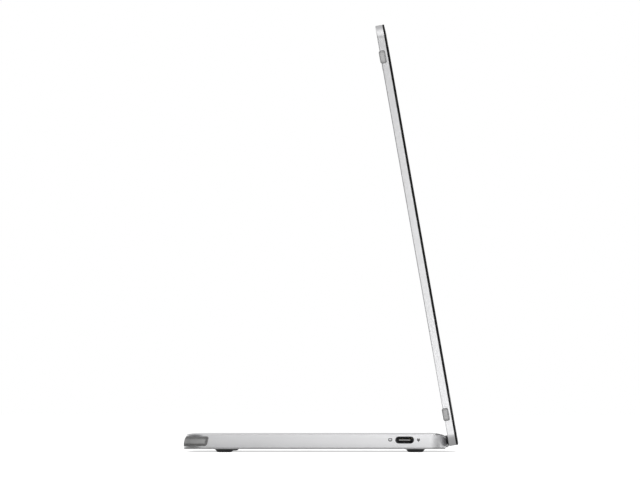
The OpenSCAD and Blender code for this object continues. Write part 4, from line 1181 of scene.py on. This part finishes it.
class MonitorStudio(bpy.types.Operator):
    """Floor, graded cards, lamps, world and camera"""
    bl_idname = "monitor.studio"
    bl_label = "Studio"

    def execute(self, context):
        scene = context.scene
        scene.view_settings.view_transform = "Standard"
        self.floor()
        self.cards()
        self.lamps()
        self.world(scene)
        self.camera(scene)
        return {"FINISHED"}

    def floor(self):
        floor = primitive("studio_floor", "plane", size=FLOOR_SIZE, location=(0, 0, 0))
        tree, shader, _ = glowing("studio_floor", grey=0.8, roughness=0.9)
        tree.links.new(seen_rays(tree, FLOOR_GLOW), shader.inputs["Emission Strength"])
        floor.data.materials.append(FINISH["studio_floor"])

    def cards(self):
        """Graded cards that the metal reflects; the camera looks past them."""
        for name, axis, centre, size, stops in CARDS:
            low, high = (Vector(centre) + sign * Vector(size) / 2 for sign in (-1, 1))
            self.dress(block(name, low, high), name, axis, stops)
        arc = primitive("card_arc", "cylinder", vertices=96, radius=ARC_R, depth=ARC_H,
                        end_fill_type="NOTHING", location=(0, 0, ARC_H / 2))
        start, end = ARC_STOPS[0][0], ARC_STOPS[-1][0]
        edit(arc, "FACE", lambda f: not start < arc_angle(f.calc_center_median()) < end)
        bpy.ops.mesh.delete(type="FACE")
        close()
        self.dress(arc, "card_arc", None, ARC_STOPS)

    def dress(self, card, name, axis, stops):
        graded_card(name, axis, stops)
        card.data.materials.append(FINISH[name])
        card.visible_camera = card.visible_shadow = card.visible_diffuse = False

    def lamps(self):
        for name, place, aim, size, power, mirrored in LAMPS:
            data = bpy.data.lights.new(name, "AREA")
            data.shape = "DISK"
            data.size = size
            data.energy = power
            lamp = bpy.data.objects.new(name, data)
            bpy.context.collection.objects.link(lamp)
            lamp.visible_glossy = mirrored
            point(lamp, Vector(place), Vector(aim))

    def world(self, scene):
        world = bpy.data.worlds.new("studio")
        world.use_nodes = True
        tree = world.node_tree
        sky = tree.nodes["Background"]
        sky.inputs["Color"].default_value = (1, 1, 1, 1)
        tree.links.new(seen_rays(tree, 1.0, SKY_LIGHT), sky.inputs["Strength"])
        scene.world = world

    def camera(self, scene):
        near = -SHELL_BOX[1].x
        rear = HINGE.y - scene.base_sizes.hinge_in
        aim = Vector((near, rear + (PHOTO_REAR_X - PHOTO_SIZE[0] / 2) / PHOTO_SCALE * MM,
                      (PHOTO_DESK_Y - PHOTO_SIZE[1] / 2) / PHOTO_SCALE * MM))
        data = bpy.data.cameras.new("camera")
        data.sensor_width = SENSOR
        data.lens = SENSOR * CAMERA_AWAY / (PHOTO_SIZE[0] / PHOTO_SCALE * MM)
        data.clip_start, data.clip_end = 1, 60
        camera = bpy.data.objects.new("camera", data)
        bpy.context.collection.objects.link(camera)
        point(camera, Vector((near - CAMERA_AWAY, rear - CAMERA_IN, CAMERA_UP)), aim)
        scene.camera = camera


def point(thing, place, aim):
    """Puts a lamp or the camera in its place and points it at aim."""
    thing.location = place
    thing.rotation_mode = "QUATERNION"
    thing.rotation_quaternion = (aim - place).to_track_quat("-Z", "Y")


def glowing(name, grey, roughness):
    """Starts a matt grey material that glows, and returns what material() does."""
    return material(name, roughness, Base_Color=(grey, grey, grey, 1), Specular_IOR_Level=0.0,
                    Emission_Color=(1, 1, 1, 1), Emission_Strength=1.0)


def seen_rays(tree, seen, other=0.0):
    """A strength of seen for camera, glossy and transmission rays, and of other after a diffuse bounce."""
    path = add(tree, "ShaderNodeLightPath").outputs
    either = path["Is Camera Ray"]
    for kind in ("Is Glossy Ray", "Is Transmission Ray"):
        either = calc(tree, "MAXIMUM", either, path[kind])
    direct = calc(tree, "LESS_THAN", path["Diffuse Depth"], 0.5)
    return spread(tree, calc(tree, "MULTIPLY", either, direct), other, seen)


def arc_angle(point):
    """Angle of a point round the origin, in degrees from -X towards +Y."""
    return math.degrees(math.atan2(point.y, -point.x))


def graded_card(name, axis, stops):
    """A card whose brightness runs through stops of (place, level), along an axis or round the origin."""
    tree, shader, place = glowing(name, grey=0.02, roughness=1.0)
    split = add(tree, "ShaderNodeSeparateXYZ", {0: place}).outputs
    if axis is None:
        back = calc(tree, "MULTIPLY", split["X"], -1.0)
        place = calc(tree, "DEGREES", calc(tree, "ARCTAN2", split["Y"], back))
    else:
        place = split[axis]
    start, end = stops[0][0], stops[-1][0]
    ramp = add(tree, "ShaderNodeValToRGB", {0: spread(tree, place, start=start, end=end)})
    points = ramp.color_ramp.elements
    while len(points) < len(stops):
        points.new(0.5)
    for i, (spot, _) in enumerate(stops):
        points[i].position = (spot - start) / (end - start)
    for i, (_, level) in enumerate(stops):
        points[i].color = (level, level, level, 1)
    tree.links.new(ramp.outputs["Color"], shader.inputs["Emission Color"])


class MonitorPanel(bpy.types.Panel):
    """Lists the monitor's pieces in the sidebar"""
    bl_idname = "VIEW3D_PT_monitor"
    bl_label = "Portable monitor"
    bl_space_type = "VIEW_3D"
    bl_region_type = "UI"
    bl_category = "Monitor"

    def draw(self, context):
        for operator in OPERATORS:
            self.layout.operator(operator.bl_idname)
        for group, kind in GROUPS.items():
            box = self.layout.box()
            for name in kind.__annotations__:
                box.prop(getattr(context.scene, group), name)


GROUPS = {"display_sizes": DisplaySizes, "base_sizes": BaseSizes, "rubber_sizes": RubberSizes,
          "finishes": Finishes}
OPERATORS = [MonitorFinishes, MonitorRearCover, MonitorFrontFrame, MonitorScreen, MonitorBumpers,
             MonitorBarrel, MonitorBaseShell, MonitorBasePlate, MonitorPads, MonitorFeet, MonitorPorts,
             MonitorMarks, MonitorButtons, MonitorStudio]


def register():
    for group in GROUPS.values():
        bpy.utils.register_class(group)
    for name, group in GROUPS.items():
        setattr(bpy.types.Scene, name, PointerProperty(type=group))
    for kind in [*OPERATORS, MonitorPanel]:
        bpy.utils.register_class(kind)


def unregister():
    for kind in [MonitorPanel, *reversed(OPERATORS)]:
        bpy.utils.unregister_class(kind)
    for name in GROUPS:
        delattr(bpy.types.Scene, name)
    for group in GROUPS.values():
        bpy.utils.unregister_class(group)


def main():
    register()
    for operator in OPERATORS:
        family, name = operator.bl_idname.split(".")
        if getattr(getattr(bpy.ops, family), name)() != {"FINISHED"}:
            raise RuntimeError(f"{operator.bl_label} was not made")


if __name__ == "__main__":
    main()
